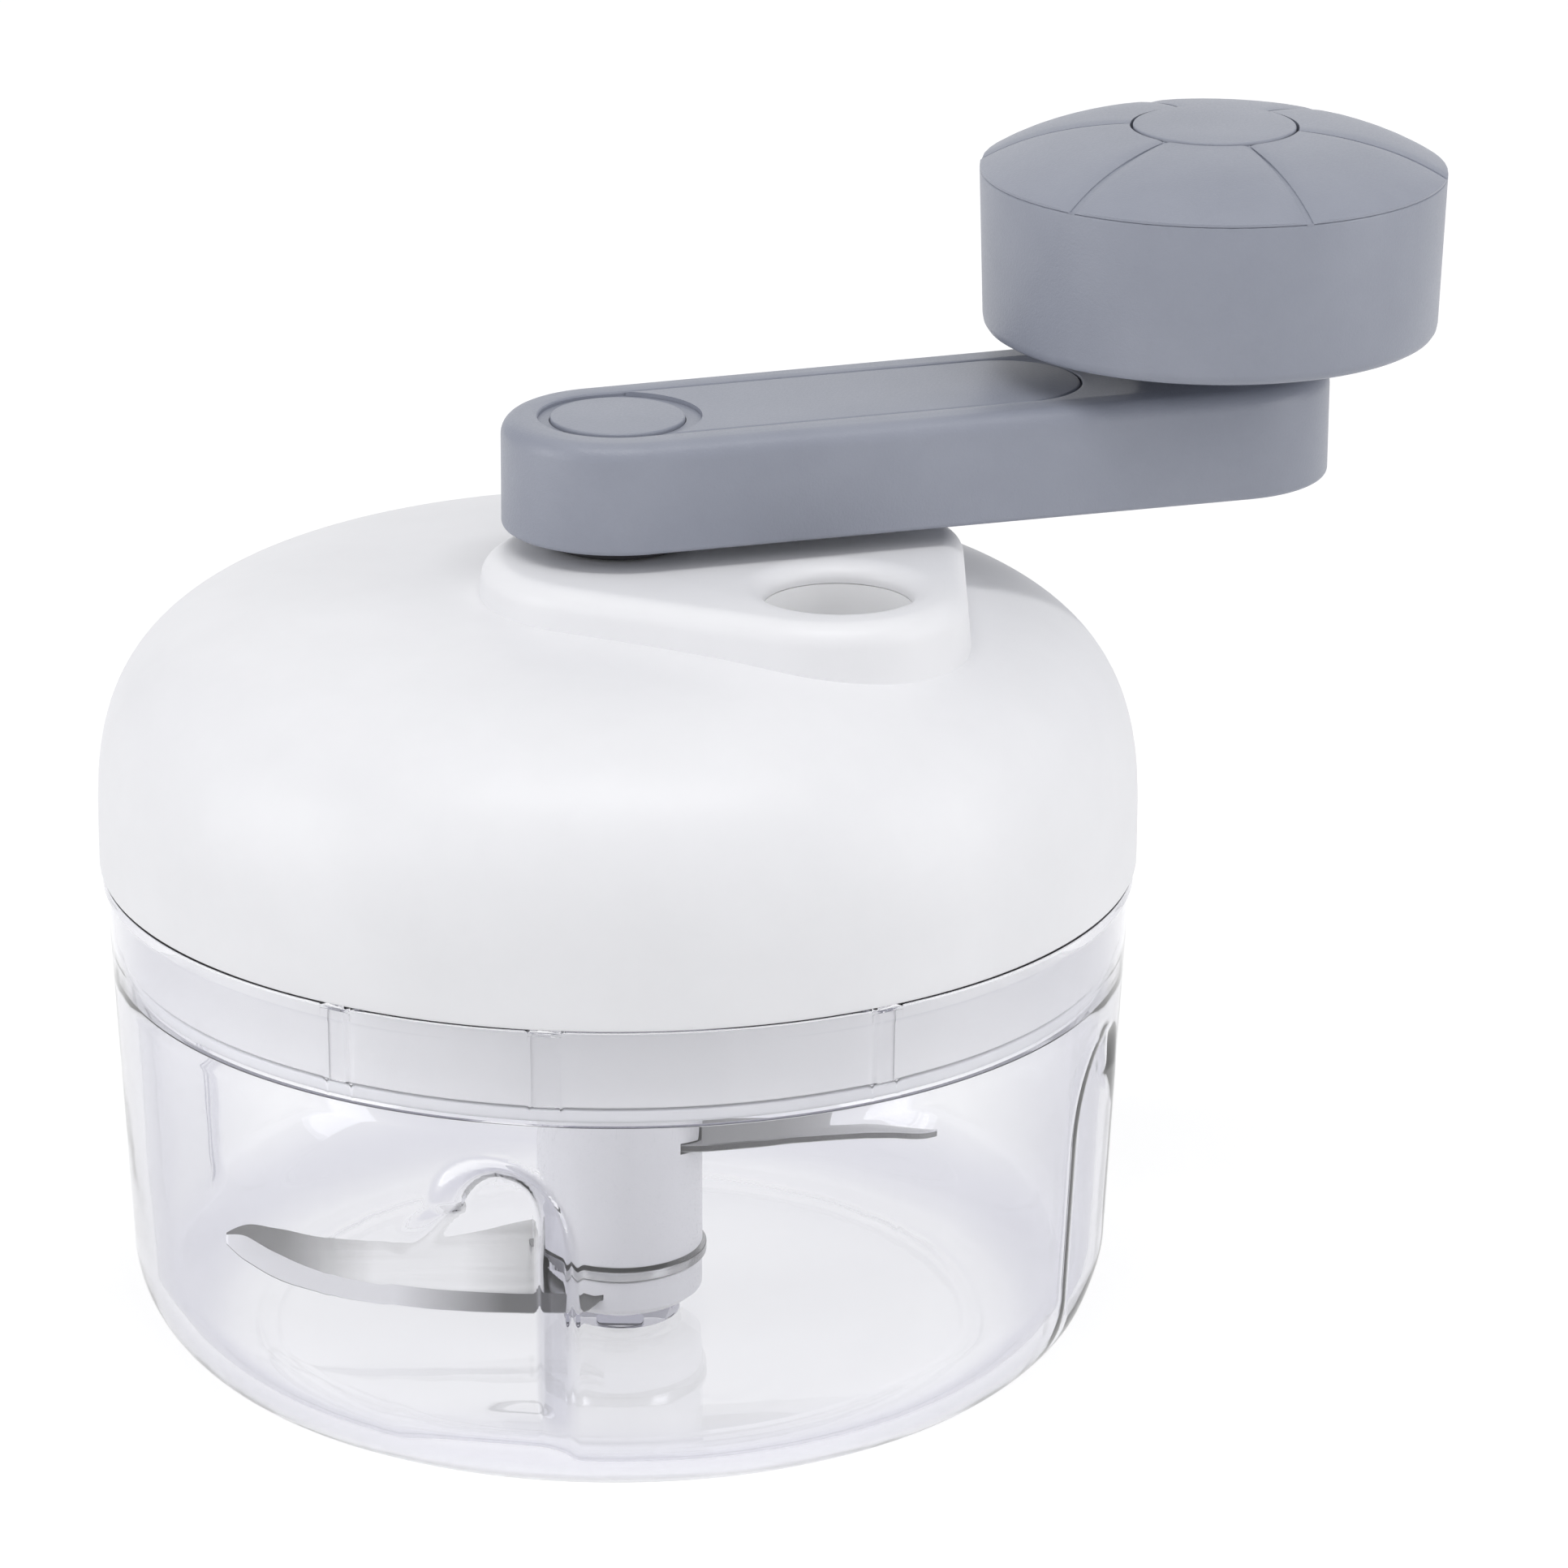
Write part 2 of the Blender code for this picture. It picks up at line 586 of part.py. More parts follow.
def gear_outline(teeth, radii, thicker, phase):
    """An involute gear outline through the radii given, root first. Thicker widens each tooth."""
    pitch_r = MODULE * teeth / 2
    base_r = pitch_r * math.cos(PRESSURE)
    half_pitch = math.pi / (2 * teeth) + thicker / (2 * pitch_r)
    at_pitch = math.tan(PRESSURE) - PRESSURE
    flank = []
    for radius in radii:
        roll = math.acos(min(1.0, base_r / max(radius, base_r)))
        flank.append((radius, half_pitch + at_pitch - (math.tan(roll) - roll)))
    outline = []
    for tooth in range(teeth):
        middle = math.radians(phase) + 2 * math.pi * tooth / teeth
        outline += [(r * math.cos(middle - a), r * math.sin(middle - a)) for r, a in flank]
        outline += [(r * math.cos(middle + a), r * math.sin(middle + a)) for r, a in reversed(flank)]
    return outline


def lugged_circle(radius):
    """A circle with a round lug at each gearbox screw."""
    outline = []
    for index in range(LUG_STEPS):
        angle = index * 360.0 / LUG_STEPS
        reach = radius
        for lug in LUG_ANGLES:
            off = math.radians((angle - lug + 180.0) % 360.0 - 180.0)
            side = LUG_ORBIT * math.sin(off)
            if abs(off) < 1.0 and abs(side) < LUG_R:
                reach = max(reach, LUG_ORBIT * math.cos(off) + math.sqrt(LUG_R ** 2 - side ** 2))
        outline.append(polar(reach, angle))
    return outline


def make_gearbox():
    holes = [circle(polar(LUG_SCREW_ORBIT, angle), LUG_HOLE_R, 8) for angle in LUG_ANGLES]
    teeth = gear_outline(RING_TEETH, RING_FLANK, BACKLASH, 0.0)
    extruded("ring_gear", [lugged_circle(GEARBOX_R), teeth] + holes, GEARBOX_FOOT_Z,
             GEARBOX_TOP_Z, NATURAL)
    cover_foot = GEARBOX_TOP_Z + GAP
    cover_top = cover_foot + 2.0 * MM
    bearing = circle((0, 0), SHAFT_R + GAP, 16)
    extruded("gearbox_cover", [lugged_circle(GEARBOX_R), bearing] + holes, cover_foot, cover_top,
             NATURAL)
    for number, angle in enumerate(LUG_ANGLES):
        place = polar(LUG_SCREW_ORBIT, angle)
        head_z = cover_top + GAP + 1.2 * MM
        screw(f"gearbox_screw_{number + 1}", place, head_z, 2.2 * MM, 1.2 * MM, 1.0 * MM, 19.5 * MM, 1)


def make_planets():
    carrier_foot = GEAR_TOP_Z + 0.4 * MM
    carrier_top = carrier_foot + 2.6 * MM
    socket = circle((0, 0), HEXAGON_R + HEXAGON_GAP, 6)
    places = [polar(GEAR_ORBIT, angle) for angle in PLANET_ANGLES]
    holes = [circle(place, PLANET_PIN_R + GAP, 10) for place in places]
    extruded("planet_carrier", [circle((0, 0), CARRIER_R, 28), socket] + holes, carrier_foot,
             carrier_top, NATURAL)
    for number, place in enumerate(places):
        outline = gear_outline(PLANET_TEETH, PINION_FLANK, -BACKLASH, 0.0)
        bore = circle((0, 0), PLANET_PIN_R + GAP, 10)
        gear = extruded(f"planet_gear_{number + 1}", [outline, bore], GEAR_FOOT_Z, GEAR_TOP_Z, NATURAL)
        gear.location = (place[0], place[1], 0.0)
        gear.rotation_euler.z = math.radians(PLANET_ANGLES[number])
        pin_foot = GEAR_FOOT_Z + 0.4 * MM
        cylinder(f"planet_pin_{number + 1}", place, PLANET_PIN_R, pin_foot, carrier_top, STEEL, 10)


def make_shafts():
    sun = gear_outline(SUN_TEETH, PINION_FLANK, -BACKLASH, 180.0 / SUN_TEETH)
    output = extruded("output_shaft", [sun], GEAR_FOOT_Z, GEAR_TOP_Z, NATURAL)
    neck_z = GEAR_FOOT_Z + 0.4 * MM
    collar_top = GEAR_FOOT_Z - 0.4 * MM
    collar_foot = PLATE_Z + PLATE + GAP
    journal_foot = JOURNAL_FOOT_Z - 0.4 * MM
    shank = [(0.0, neck_z), (3.2 * MM, neck_z), (3.2 * MM, collar_top), (6.2 * MM, collar_top)]
    shank += [(6.2 * MM, collar_foot), (OUTPUT_R, collar_foot), (OUTPUT_R, journal_foot)]
    shank += [(0.0, journal_foot)]
    join(output, turned("output_journal", shank, NATURAL, 16))
    hexagon = circle((0, 0), OUTPUT_HEXAGON_R, 6)
    join(output, extruded("output_hexagon", [hexagon], 38.5 * MM, journal_foot + 0.6 * MM, NATURAL))
    barrel_foot = GEAR_TOP_Z + 3.6 * MM
    barrel_top = BUSH_TOP_Z + 0.1 * MM
    barrel = [(0.0, barrel_top), (SHAFT_R, barrel_top), (SHAFT_R, barrel_foot), (0.0, barrel_foot)]
    shaft = turned("input_shaft", barrel, STEEL, 16)
    foot_hexagon = circle((0, 0), HEXAGON_R, 6)
    join(shaft, extruded("shaft_foot", [foot_hexagon], GEAR_TOP_Z + 0.7 * MM,
                         barrel_foot + 0.5 * MM, STEEL))
    top_hexagon = turn_points(foot_hexagon, ARM_ANGLE)
    join(shaft, extruded("shaft_top", [top_hexagon], barrel_top - 0.5 * MM, SHAFT_TOP_Z, STEEL))
    cut(shaft, cylinder("shaft_pilot", (0, 0), SHAFT_PILOT_R, SHAFT_TOP_Z - PILOT_DEPTH,
                        SHAFT_TOP_Z + 2.0 * MM, STEEL, 10))


def turn_points(points, angle):
    c, s = math.cos(angle), math.sin(angle)
    return [(x * c - y * s, x * s + y * c) for x, y in points]


def along_arm(distance, side=0.0):
    """A place on the arm by its distance from the crank's axis."""
    return turn_points([(distance, side)], ARM_ANGLE)[0]


def make_bush():
    flange_foot = PLATFORM_Z + GAP
    bore = SHAFT_R + GAP
    profile = [(bore, BUSH_TOP_Z), (BUSH_R - 0.6 * MM, BUSH_TOP_Z), (BUSH_R, BUSH_TOP_Z - 0.6 * MM)]
    barrel_r = BUSH_HOLE_R - GAP
    profile += [(BUSH_R, flange_foot), (barrel_r, flange_foot), (barrel_r, BUSH_FOOT_Z)]
    profile += [(bore, BUSH_FOOT_Z)]
    turned("shaft_bush", profile, DARK, 20, ring=True)


def make_arm():
    end = along_arm(ARM_LENGTH)
    chamfer = 0.6 * MM
    levels = [(chamfer, ARM_FOOT_Z)] + filleted(ARM_FOOT_Z + chamfer, ARM_TOP_Z, ARM_FILLET, 3)
    arm = pillow("crank_arm", ((0, 0, ARM_R), (*end, ARM_END_R)), 28, levels, GREY)
    inside = ARM_FOOT_Z + 1.0 * MM
    join(arm, cylinder("arm_boss", (0, 0), BOSS_R, BUSH_TOP_Z + GAP, inside, GREY, 16))
    join(arm, cylinder("arm_neck", end, NECK_R, ARM_TOP_Z - 1.0 * MM, KNOB_FOOT_Z - 0.4 * MM, GREY, 16))
    far = along_arm(PANEL_END - PANEL_R)
    above = ARM_TOP_Z + 3.0 * MM
    recess = hull(((0, 0, PANEL_R + GAP), (*far, PANEL_R + GAP)), 24)
    cut(arm, extruded("arm_recess", [recess], ARM_TOP_Z - 1.0 * MM, above, GREY))
    well = [(0.0, above), (CAP_R + GAP, above), (CAP_R + GAP, WELL_STEP_Z), (WELL_R, WELL_STEP_Z)]
    well += [(WELL_R, WELL_Z), (0.0, WELL_Z)]
    cut(arm, turned("arm_well", well, GREY, 20))
    socket = turn_points(circle((0, 0), HEXAGON_R + HEXAGON_GAP, 6), ARM_ANGLE)
    cut(arm, extruded("arm_socket", [socket], BUSH_TOP_Z - 2.0 * MM, WELL_Z + 1.0 * MM, GREY))
    cut(arm, cylinder("axle_hole", end, AXLE_R + GAP, AXLE_FOOT_Z - GAP, KNOB_FOOT_Z + 5.0 * MM,
                      GREY, 12))

    panel_foot, panel_top = ARM_TOP_Z - 0.7 * MM, ARM_TOP_Z - 0.1 * MM
    outline = hull(((0, 0, PANEL_R), (*far, PANEL_R)), 24)
    panel = extruded("arm_panel", [outline], panel_foot, panel_top, GREY)
    cut(panel, cylinder("panel_hollow", (0, 0), PANEL_HOLLOW_R, WELL_STEP_Z, above, GREY, 24))

    cap_foot = WELL_STEP_Z + GAP
    cap = [(0.0, ARM_TOP_Z), (CAP_R - 0.3 * MM, ARM_TOP_Z), (CAP_R, ARM_TOP_Z - 0.3 * MM)]
    cap += [(CAP_R, cap_foot), (0.0, cap_foot)]
    turned("crank_cap", cap, GREY, 22)
    washer("crank_washer", (0, 0), 4.8 * MM, WELL_Z + GAP)
    screw("crank_screw", (0, 0), WELL_STEP_Z - 0.2 * MM, *CRANK_SCREW, 1)


def washer(name, place, radius, foot):
    top = foot + 0.8 * MM
    profile = [(radius, top), (radius, foot), (SHAFT_PILOT_R, foot), (SHAFT_PILOT_R, top)]
    turned(name, profile, STEEL, 10, place, ring=True)


def make_knob():
    place = (KNOB_X, KNOB_Y)
    axle = [(0.0, AXLE_TOP_Z), (AXLE_R, AXLE_TOP_Z), (AXLE_R, AXLE_FOOT_Z), (0.0, AXLE_FOOT_Z)]
    shaft = turned("knob_axle", axle, STEEL, 12, place)
    cut(shaft, cylinder("axle_pilot", place, SHAFT_PILOT_R, AXLE_TOP_Z - PILOT_DEPTH,
                        AXLE_TOP_Z + 2.0 * MM, STEEL, 10))
    washer("knob_washer", place, 6.0 * MM, AXLE_TOP_Z + GAP)
    screw("knob_screw", place, AXLE_TOP_Z + 3.8 * MM, *CRANK_SCREW, 1)

    foot = KNOB_FOOT_Z
    seat = KNOB_RIM_Z - GAP
    floor = foot + 2.4 * MM
    bore = AXLE_R + 0.4 * MM
    boss_top = AXLE_TOP_Z - 0.4 * MM
    body = [(KNOB_R - 2.6 * MM, seat), (KNOB_R, seat), (KNOB_FOOT_R, foot + 1.7 * MM)]
    body += [(KNOB_FOOT_R - 0.5 * MM, foot + 0.5 * MM), (KNOB_FOOT_R - 1.7 * MM, foot), (bore, foot)]
    body += [(bore, boss_top), (7.0 * MM, boss_top), (7.4 * MM, floor), (KNOB_FOOT_R - KNOB_WALL, floor)]
    turned("knob_body", body, GREY, 30, place, ring=True)
    make_knob_top(place)
    disc_foot = KNOB_TOP_Z - 1.5 * MM
    disc = [(0.0, KNOB_TOP_Z), (DISC_R * 0.6, KNOB_TOP_Z - 0.05 * MM)]
    disc += [(DISC_R - 0.3 * MM, KNOB_TOP_Z - 0.2 * MM), (DISC_R, KNOB_TOP_Z - 0.5 * MM)]
    disc += [(DISC_R, disc_foot), (0.0, disc_foot)]
    turned("knob_disc", disc, GREY, 22, place)


def petal_height(radius, angle):
    """The height of the knob's top, where six petals rise between grooves."""
    rise = KNOB_TOP_Z - KNOB_RIM_Z - 0.5 * MM
    height = KNOB_RIM_Z + 0.3 * MM + rise * (1.0 - (radius / KNOB_R) ** 3.3)
    spacing = 360.0 / PETALS
    off = abs((angle - PETAL_PHASE + spacing / 2) % spacing - spacing / 2)
    side = math.radians(off) * radius
    share = (radius - DISC_R) / (KNOB_R - DISC_R)
    half_width = (0.3 + 0.45 * share) * MM
    groove = 1.0 - smooth(side / half_width)
    sunk = height - 0.6 * MM * groove * smooth((radius - DISC_R) / (1.5 * MM))
    return max(sunk, KNOB_RIM_Z + 0.05 * MM)


def make_knob_top(place):
    spacing = 360.0 / PETALS
    offsets = (0.0, 1.4, 3.0, 20.0, 40.0, 57.0, 58.6)
    angles = [PETAL_PHASE + spacing * petal + off for petal in range(PETALS) for off in offsets]
    inner = DISC_R + GAP
    rings = (inner, 12.5 * MM, 18.5 * MM, 23.0 * MM, 26.2 * MM, KNOB_R - 0.1 * MM)
    rows = [[(*polar(inner, a), KNOB_TOP_Z - 1.8 * MM) for a in angles]]
    for ring in rings:
        rows.append([(*polar(ring, a), petal_height(ring, a)) for a in angles])
    spigot_r, spigot_z = KNOB_R - 3.2 * MM, KNOB_RIM_Z - 2.6 * MM
    for radius, z in ((KNOB_R, KNOB_RIM_Z), (spigot_r, KNOB_RIM_Z), (spigot_r, spigot_z),
                      (spigot_r - 1.9 * MM, spigot_z), (spigot_r - 4.9 * MM, KNOB_RIM_Z + 0.2 * MM)):
        rows.append([(*polar(radius, a), z) for a in angles])
    top = wrapped("knob_top", rows, GREY)
    top.location = (*place, 0.0)


def blade_sections(outline, pitch, height, heading, margin):
    """Sections across a blade, from its root to its tip."""
    sections = []
    half = BLADE_THICK / 2 + margin
    for out, back, bevel, front, share in outline:
        points = []
        back_side = back * MM - margin
        front_side = front * MM + margin
        lower_edge = -half + BLADE_EDGE + 2 * margin
        for side, lift in ((back_side, half), (bevel * MM, half), (front_side, lower_edge),
                           (front_side, -half), (back_side, -half)):
            z = height - pitch * share * side + lift
            points.append((*turn_points([(out * MM, side)], heading)[0], z))
        sections.append(points)
    return sections


def make_blades():
    plain = [(r, HUB_TOP_Z - z) for r, z in ((0.0, 0.0), (9.3 * MM, 0.0), (HUB_R, 0.8 * MM))]
    hub = turned("blade_hub", plain + [(HUB_R, HUB_FOOT_Z), (0.0, HUB_FOOT_Z)], WHITE, 22)
    socket = circle((0, 0), OUTPUT_HEXAGON_R + HEXAGON_GAP, 6)
    cut(hub, extruded("hub_socket", [socket], 37.0 * MM, HUB_TOP_Z + 2.0 * MM, WHITE))
    below = HUB_FOOT_Z - 3.0 * MM
    cut(hub, cylinder("hub_recess", (0, 0), SPIGOT_R + GAP, below, SPIGOT_TOP_Z + 0.4 * MM, WHITE, 16))
    cut(hub, cylinder("hub_bore", (0, 0), PIN_R + GAP, below, PIN_TOP_Z + 1.4 * MM, WHITE, 12))
    seat = LOWER_BLADE_Z - RING_THICK / 2 - GAP
    cap = [(PIN_R + GAP, SPIGOT_TOP_Z), (SPIGOT_R, SPIGOT_TOP_Z), (SPIGOT_R, seat), (HUB_R, seat)]
    cap += [(HUB_R, CAP_FOOT_Z + 1.0 * MM), (HUB_R - 1.2 * MM, CAP_FOOT_Z), (PIN_R + GAP, CAP_FOOT_Z)]
    foot = turned("blade_hub_cap", cap, WHITE, 22, ring=True)

    ring_foot = LOWER_BLADE_Z - RING_THICK / 2
    ring_top = LOWER_BLADE_Z + RING_THICK / 2
    lower = cylinder("lower_blade", (0, 0), RING_R, ring_foot, ring_top, STEEL, 24)
    heading = math.pi
    leaf = blade_sections(LOWER_BLADE, LOWER_PITCH, LOWER_BLADE_Z, heading, 0.0)
    join(lower, wrapped("lower_leaf", leaf, STEEL))
    cut(lower, cylinder("lower_bore", (0, 0), SPIGOT_R + GAP, CAP_FOOT_Z, PIN_TOP_Z, STEEL, 16))
    room = blade_sections(LOWER_BLADE, LOWER_PITCH, LOWER_BLADE_Z, heading, GAP)
    cut(foot, wrapped("cap_room", room, WHITE))
    cut(hub, wrapped("hub_room", room, WHITE))

    heading = 0.0
    leaf = blade_sections(UPPER_BLADE, UPPER_PITCH, UPPER_BLADE_Z, heading, 0.0)
    wrapped("upper_blade", leaf, STEEL)
    room = blade_sections(UPPER_BLADE, UPPER_PITCH, UPPER_BLADE_Z, heading, GAP)
    cut(hub, wrapped("hub_slot", room, WHITE))


for old in list(bpy.data.objects):
    bpy.data.objects.remove(old, do_unlink=True)
PARTS = new_collection("garlic_chopper")
CUTTERS = new_collection("cutters")
CLEAR = material("clear_plastic", (0.93, 0.94, 0.97), 0.05, clear=True)
WHITE = material("white_plastic", (0.86, 0.86, 0.88), 0.5)
GREY = material("grey_plastic", (0.29, 0.31, 0.36), 0.42)
DARK = material("dark_plastic", (0.08, 0.08, 0.09), 0.45)
NATURAL = material("natural_plastic", (0.78, 0.77, 0.72), 0.45)
STEEL = material("steel", (0.62, 0.62, 0.64), 0.25, 1.0)
SILICONE = material("silicone", (0.82, 0.83, 0.85), 0.6)

make_bowl()
make_lid_shell()
make_filler_tube()
make_lid_base()
make_gearbox()
make_planets()
make_shafts()
make_bush()
make_arm()
make_knob()
make_blades()
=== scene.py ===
import json
import math

import bmesh
import bpy
from mathutils import Matrix, Vector


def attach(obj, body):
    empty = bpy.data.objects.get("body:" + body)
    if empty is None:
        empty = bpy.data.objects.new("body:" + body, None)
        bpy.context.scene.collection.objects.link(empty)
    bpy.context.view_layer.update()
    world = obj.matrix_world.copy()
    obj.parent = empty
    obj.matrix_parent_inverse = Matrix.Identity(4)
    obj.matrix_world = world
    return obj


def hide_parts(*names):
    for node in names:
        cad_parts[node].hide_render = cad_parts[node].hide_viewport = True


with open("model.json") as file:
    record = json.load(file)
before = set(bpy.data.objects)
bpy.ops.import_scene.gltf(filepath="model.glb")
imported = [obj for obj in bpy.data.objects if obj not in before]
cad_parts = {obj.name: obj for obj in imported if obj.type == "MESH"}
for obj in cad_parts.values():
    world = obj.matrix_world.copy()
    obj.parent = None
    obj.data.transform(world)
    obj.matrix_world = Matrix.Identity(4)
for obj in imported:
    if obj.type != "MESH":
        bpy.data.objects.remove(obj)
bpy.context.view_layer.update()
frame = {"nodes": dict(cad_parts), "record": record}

# All sizes below are in millimetres, in the same frame as the CAD, and MM turns them into metres
MM = 0.001
GAP = 0.3

# Bowl: the round of its lower corner, its wall, which widens by WALL_SPREAD over WALL_HEIGHT, the
# bead on its floor, and how strongly the corner's round takes the painted shade of a slope
CORNER_X = 45.0
CORNER_R = 14.2
CORNER_PAINTED_SHADE = 0.9
WALL = 2.4
WALL_SPREAD = 2.3
WALL_HEIGHT = 45.2
RIM_Z = 61.0
BEAD_HEIGHT = 0.24
BEAD_STEP = 0.4

# Flutes: each one's upright edge in degrees, the way that it opens, and its depth. Their widths are
# measured along the wall at FLUTE_R, and the upper end of the edge bends over into a hook
FLUTES = ((265.7, -1, 2.8), (333.0, 1, 1.5), (85.7, -1, 2.1), (153.0, 1, 1.3))
FLUTE_R = 60.0
FLUTE_WIDTH = 23.5
FLUTE_FOOT_Z = 6.2
FLUTE_FOOT_RISE = 6.4
FLUTE_TOP_Z = 49.0
FLUTE_SLOPE = 5.8
INNER_LAG = 0.5
HOOK_Z = 32.0
HOOK_MIDDLE = 10.0
HOOK_HEIGHT = 13.3
HOOK_END_WIDTH = 8.2
HOOK_END_Z = 37.8
HOOK_END_HEIGHT = 7.5
HOOK_END_LEAN = 1.3
HOOK_NARROWING = 2.4

# Keys between the collar and the lid base, in degrees, and the radius and heights that they lie at.
# Half a key is flat over KEY_FLAT, and falls away over KEY_SLOPE
KEY_ANGLES = (238.0, 262.0, 300.0, 58.0, 82.0, 120.0)
KEY_R = 59.0
KEY_BAND = (51.79, 60.41)
KEY_DEPTH = 0.3
KEY_FLAT = 0.5
KEY_SLOPE = 1.6

# Columns of the bowl's mesh: their spacing on a flute and on a key in mm, and elsewhere in degrees
FLUTE_COLUMN = 0.36
KEY_COLUMN = 0.32
WIDEST_COLUMN = 1.6

# Lid: the dome's size and its powers across and upwards, where 2 is an ellipse, then the circles in the
# platform's three corners as x, y and radius, the port, and the angles of the gearbox lugs and the screws
DOME_R = 62.2
DOME_FOOT_Z = 66.8
DOME_HEIGHT = 28.5
DOME_POWERS = (5.0, 2.75)
DOME_WALL = 1.8
PLATFORM = ((0.8, -4.6, 17.5), (24.9, -17.9, 16.35), (30.0, 4.0, 11.7))
PLATFORM_Z = 100.0
PORT = (25.6, -17.5)
PORT_R = 8.7
LUGS = (40.0, 160.0, 280.0)
LUG_R = 19.6
LID_SCREWS = (100.0, 220.0, 340.0)
LID_SCREW_R = 47.0

# Crank arm, its inlay and the knob
ARM_ANGLE = math.radians(17.5)
ARM_LENGTH = 75.0
ARM_R = 13.8
ARM_END_R = 14.7
ARM_FOOT_Z = 102.4
ARM_TOP_Z = 115.7
PANEL_R = 9.2
PANEL_END = 57.7
KNOB = (ARM_LENGTH * math.cos(ARM_ANGLE), ARM_LENGTH * math.sin(ARM_ANGLE))
KNOB_R = 28.05
KNOB_FOOT_R = 27.4
KNOB_FOOT_Z = 120.2
KNOB_RIM_Z = 139.7
KNOB_TOP_Z = 145.4
DISC_R = 9.8
PETALS = 6
PETAL_PHASE = 49.2
PETAL_ROLL = 2.2
GROOVE_DEPTH = 0.5

# Blades: rows of distance from the axis, back, start of the bevel, front, and share of the pitch.
# A place is the pitch, the height and the heading
HUB_R = 10.1
BLADE_HALF = 0.5
BLADE_EDGE = 0.15
LOWER_PLACE = (0.37, 10.4, math.pi)
UPPER_PLACE = (0.17, 24.5, 0.0)
LOWER_BLADE = (
    (-2.0, -6.0, 4.6, 6.6, 0.0), (1.0, -5.6, 6.8, 9.0, 0.5), (4.5, -5.0, 8.8, 11.0, 1.0),
    (10.0, -3.8, 8.9, 11.0, 1.0), (17.0, -1.8, 8.6, 10.8, 1.0), (24.5, -0.4, 7.9, 10.1, 1.0),
    (31.0, -0.3, 6.8, 9.0, 1.0), (37.0, -1.0, 4.9, 7.2, 1.0), (42.0, -2.2, 2.0, 5.0, 1.0),
    (46.0, -3.0, -0.8, 2.0, 1.0), (48.4, -1.6, -1.1, -0.6, 1.0),
)
UPPER_BLADE = (
    (-2.0, -5.0, 5.0, 6.4, 1.0), (6.0, -6.6, 6.8, 8.6, 1.0), (10.6, -6.7, 7.8, 9.8, 1.0),
    (16.0, -4.8, 8.0, 10.2, 1.0), (21.7, -2.1, 7.2, 9.4, 1.0), (27.7, -0.4, 5.6, 7.8, 1.0),
    (33.0, 0.0, 3.6, 5.6, 1.0), (36.6, -0.3, 2.0, 3.6, 1.0), (38.8, 1.2, 1.6, 2.0, 1.0),
)


# Mesh helpers

def mesh_object(name, verts, faces):
    mesh = bpy.data.meshes.new(name)
    mesh.from_pydata([(x * MM, y * MM, z * MM) for x, y, z in verts], [], faces)
    bm = bmesh.new()
    bm.from_mesh(mesh)
    bmesh.ops.recalc_face_normals(bm, faces=bm.faces)
    bm.to_mesh(mesh)
    bm.free()
    obj = bpy.data.objects.new(name, mesh)
    bpy.context.scene.collection.objects.link(obj)
    return obj


def skin(name, rows, loop=False):
    """A closed surface through rings of points. A ring of one point is a tip."""
    verts, faces, starts = [], [], []
    for row in rows:
        starts.append(len(verts))
        verts += row
    count = max(len(row) for row in rows)
    pairs = list(zip(range(len(rows) - 1), range(1, len(rows))))
    if loop:
        pairs.append((len(rows) - 1, 0))
    for a, b in pairs:
        first, second = starts[a], starts[b]
        for i in range(count):
            j = (i + 1) % count
            if len(rows[a]) == 1:
                faces.append((first, second + i, second + j))
            elif len(rows[b]) == 1:
                faces.append((first + i, first + j, second))
            else:
                faces.append((first + i, first + j, second + j, second + i))
    if not loop:
        for row, start in ((rows[0], starts[0]), (rows[-1], starts[-1])):
            if len(row) > 1:
                faces.append(tuple(range(start, start + count)))
    return mesh_object(name, verts, faces)


def rounded(points, closed, count=4):
    """Rounds the corners of a profile whose points carry a third number, the corner's radius."""
    out = []
    total = len(points)
    for index, point in enumerate(points):
        radius = point[2] if len(point) > 2 else 0.0
        at_end = not closed and index in (0, total - 1)
        if radius <= 0.0 or at_end:
            out.append(point[:2])
            continue
        here = Vector(point[:2])
        before = Vector(points[index - 1][:2]) - here
        after = Vector(points[(index + 1) % total][:2]) - here
        angle = before.angle(after)
        reach = min(radius / math.tan(angle / 2), before.length * 0.48, after.length * 0.48)
        start, end = here + before.normalized() * reach, here + after.normalized() * reach
        for step in range(count + 1):
            t = step / count
            spot = start * (1 - t) ** 2 + here * 2 * t * (1 - t) + end * t ** 2
            out.append((spot.x, spot.y))
    return out


def ring_of(radius, z, steps, centre=(0.0, 0.0)):
    if radius <= 1e-6:
        return [(centre[0], centre[1], z)]
    turns = [2 * math.pi * i / steps for i in range(steps)]
    return [(centre[0] + radius * math.cos(a), centre[1] + radius * math.sin(a), z) for a in turns]


def turned(name, profile, steps, centre=(0.0, 0.0), ring=False):
    points = rounded(profile, ring)
    return skin(name, [ring_of(r, z, steps, centre) for r, z in points], ring)


def arc(centre, radius, start, end, count):
    step = (end - start) / (count - 1)
    angles = [start + step * i for i in range(count)]
    return [(centre[0] + radius * math.cos(a), centre[1] + radius * math.sin(a)) for a in angles]


def tangent(first, second):
    dx, dy = second[0] - first[0], second[1] - first[1]
    return math.atan2(dy, dx) - math.acos((first[2] - second[2]) / math.hypot(dx, dy))


def hull(circles, count, inset=0.0):
    """The outline round a few circles and their common tangents, moved inwards by inset."""
    outline = []
    for index, (x, y, radius) in enumerate(circles):
        start = tangent(circles[index - 1], circles[index])
        end = tangent(circles[index], circles[(index + 1) % len(circles)])
        sweep = (end - start) % (2 * math.pi)
        points = max(2, round(count * sweep / (2 * math.pi)) + 1)
        outline += arc((x, y), radius - inset, start, start + sweep, points)
    return outline


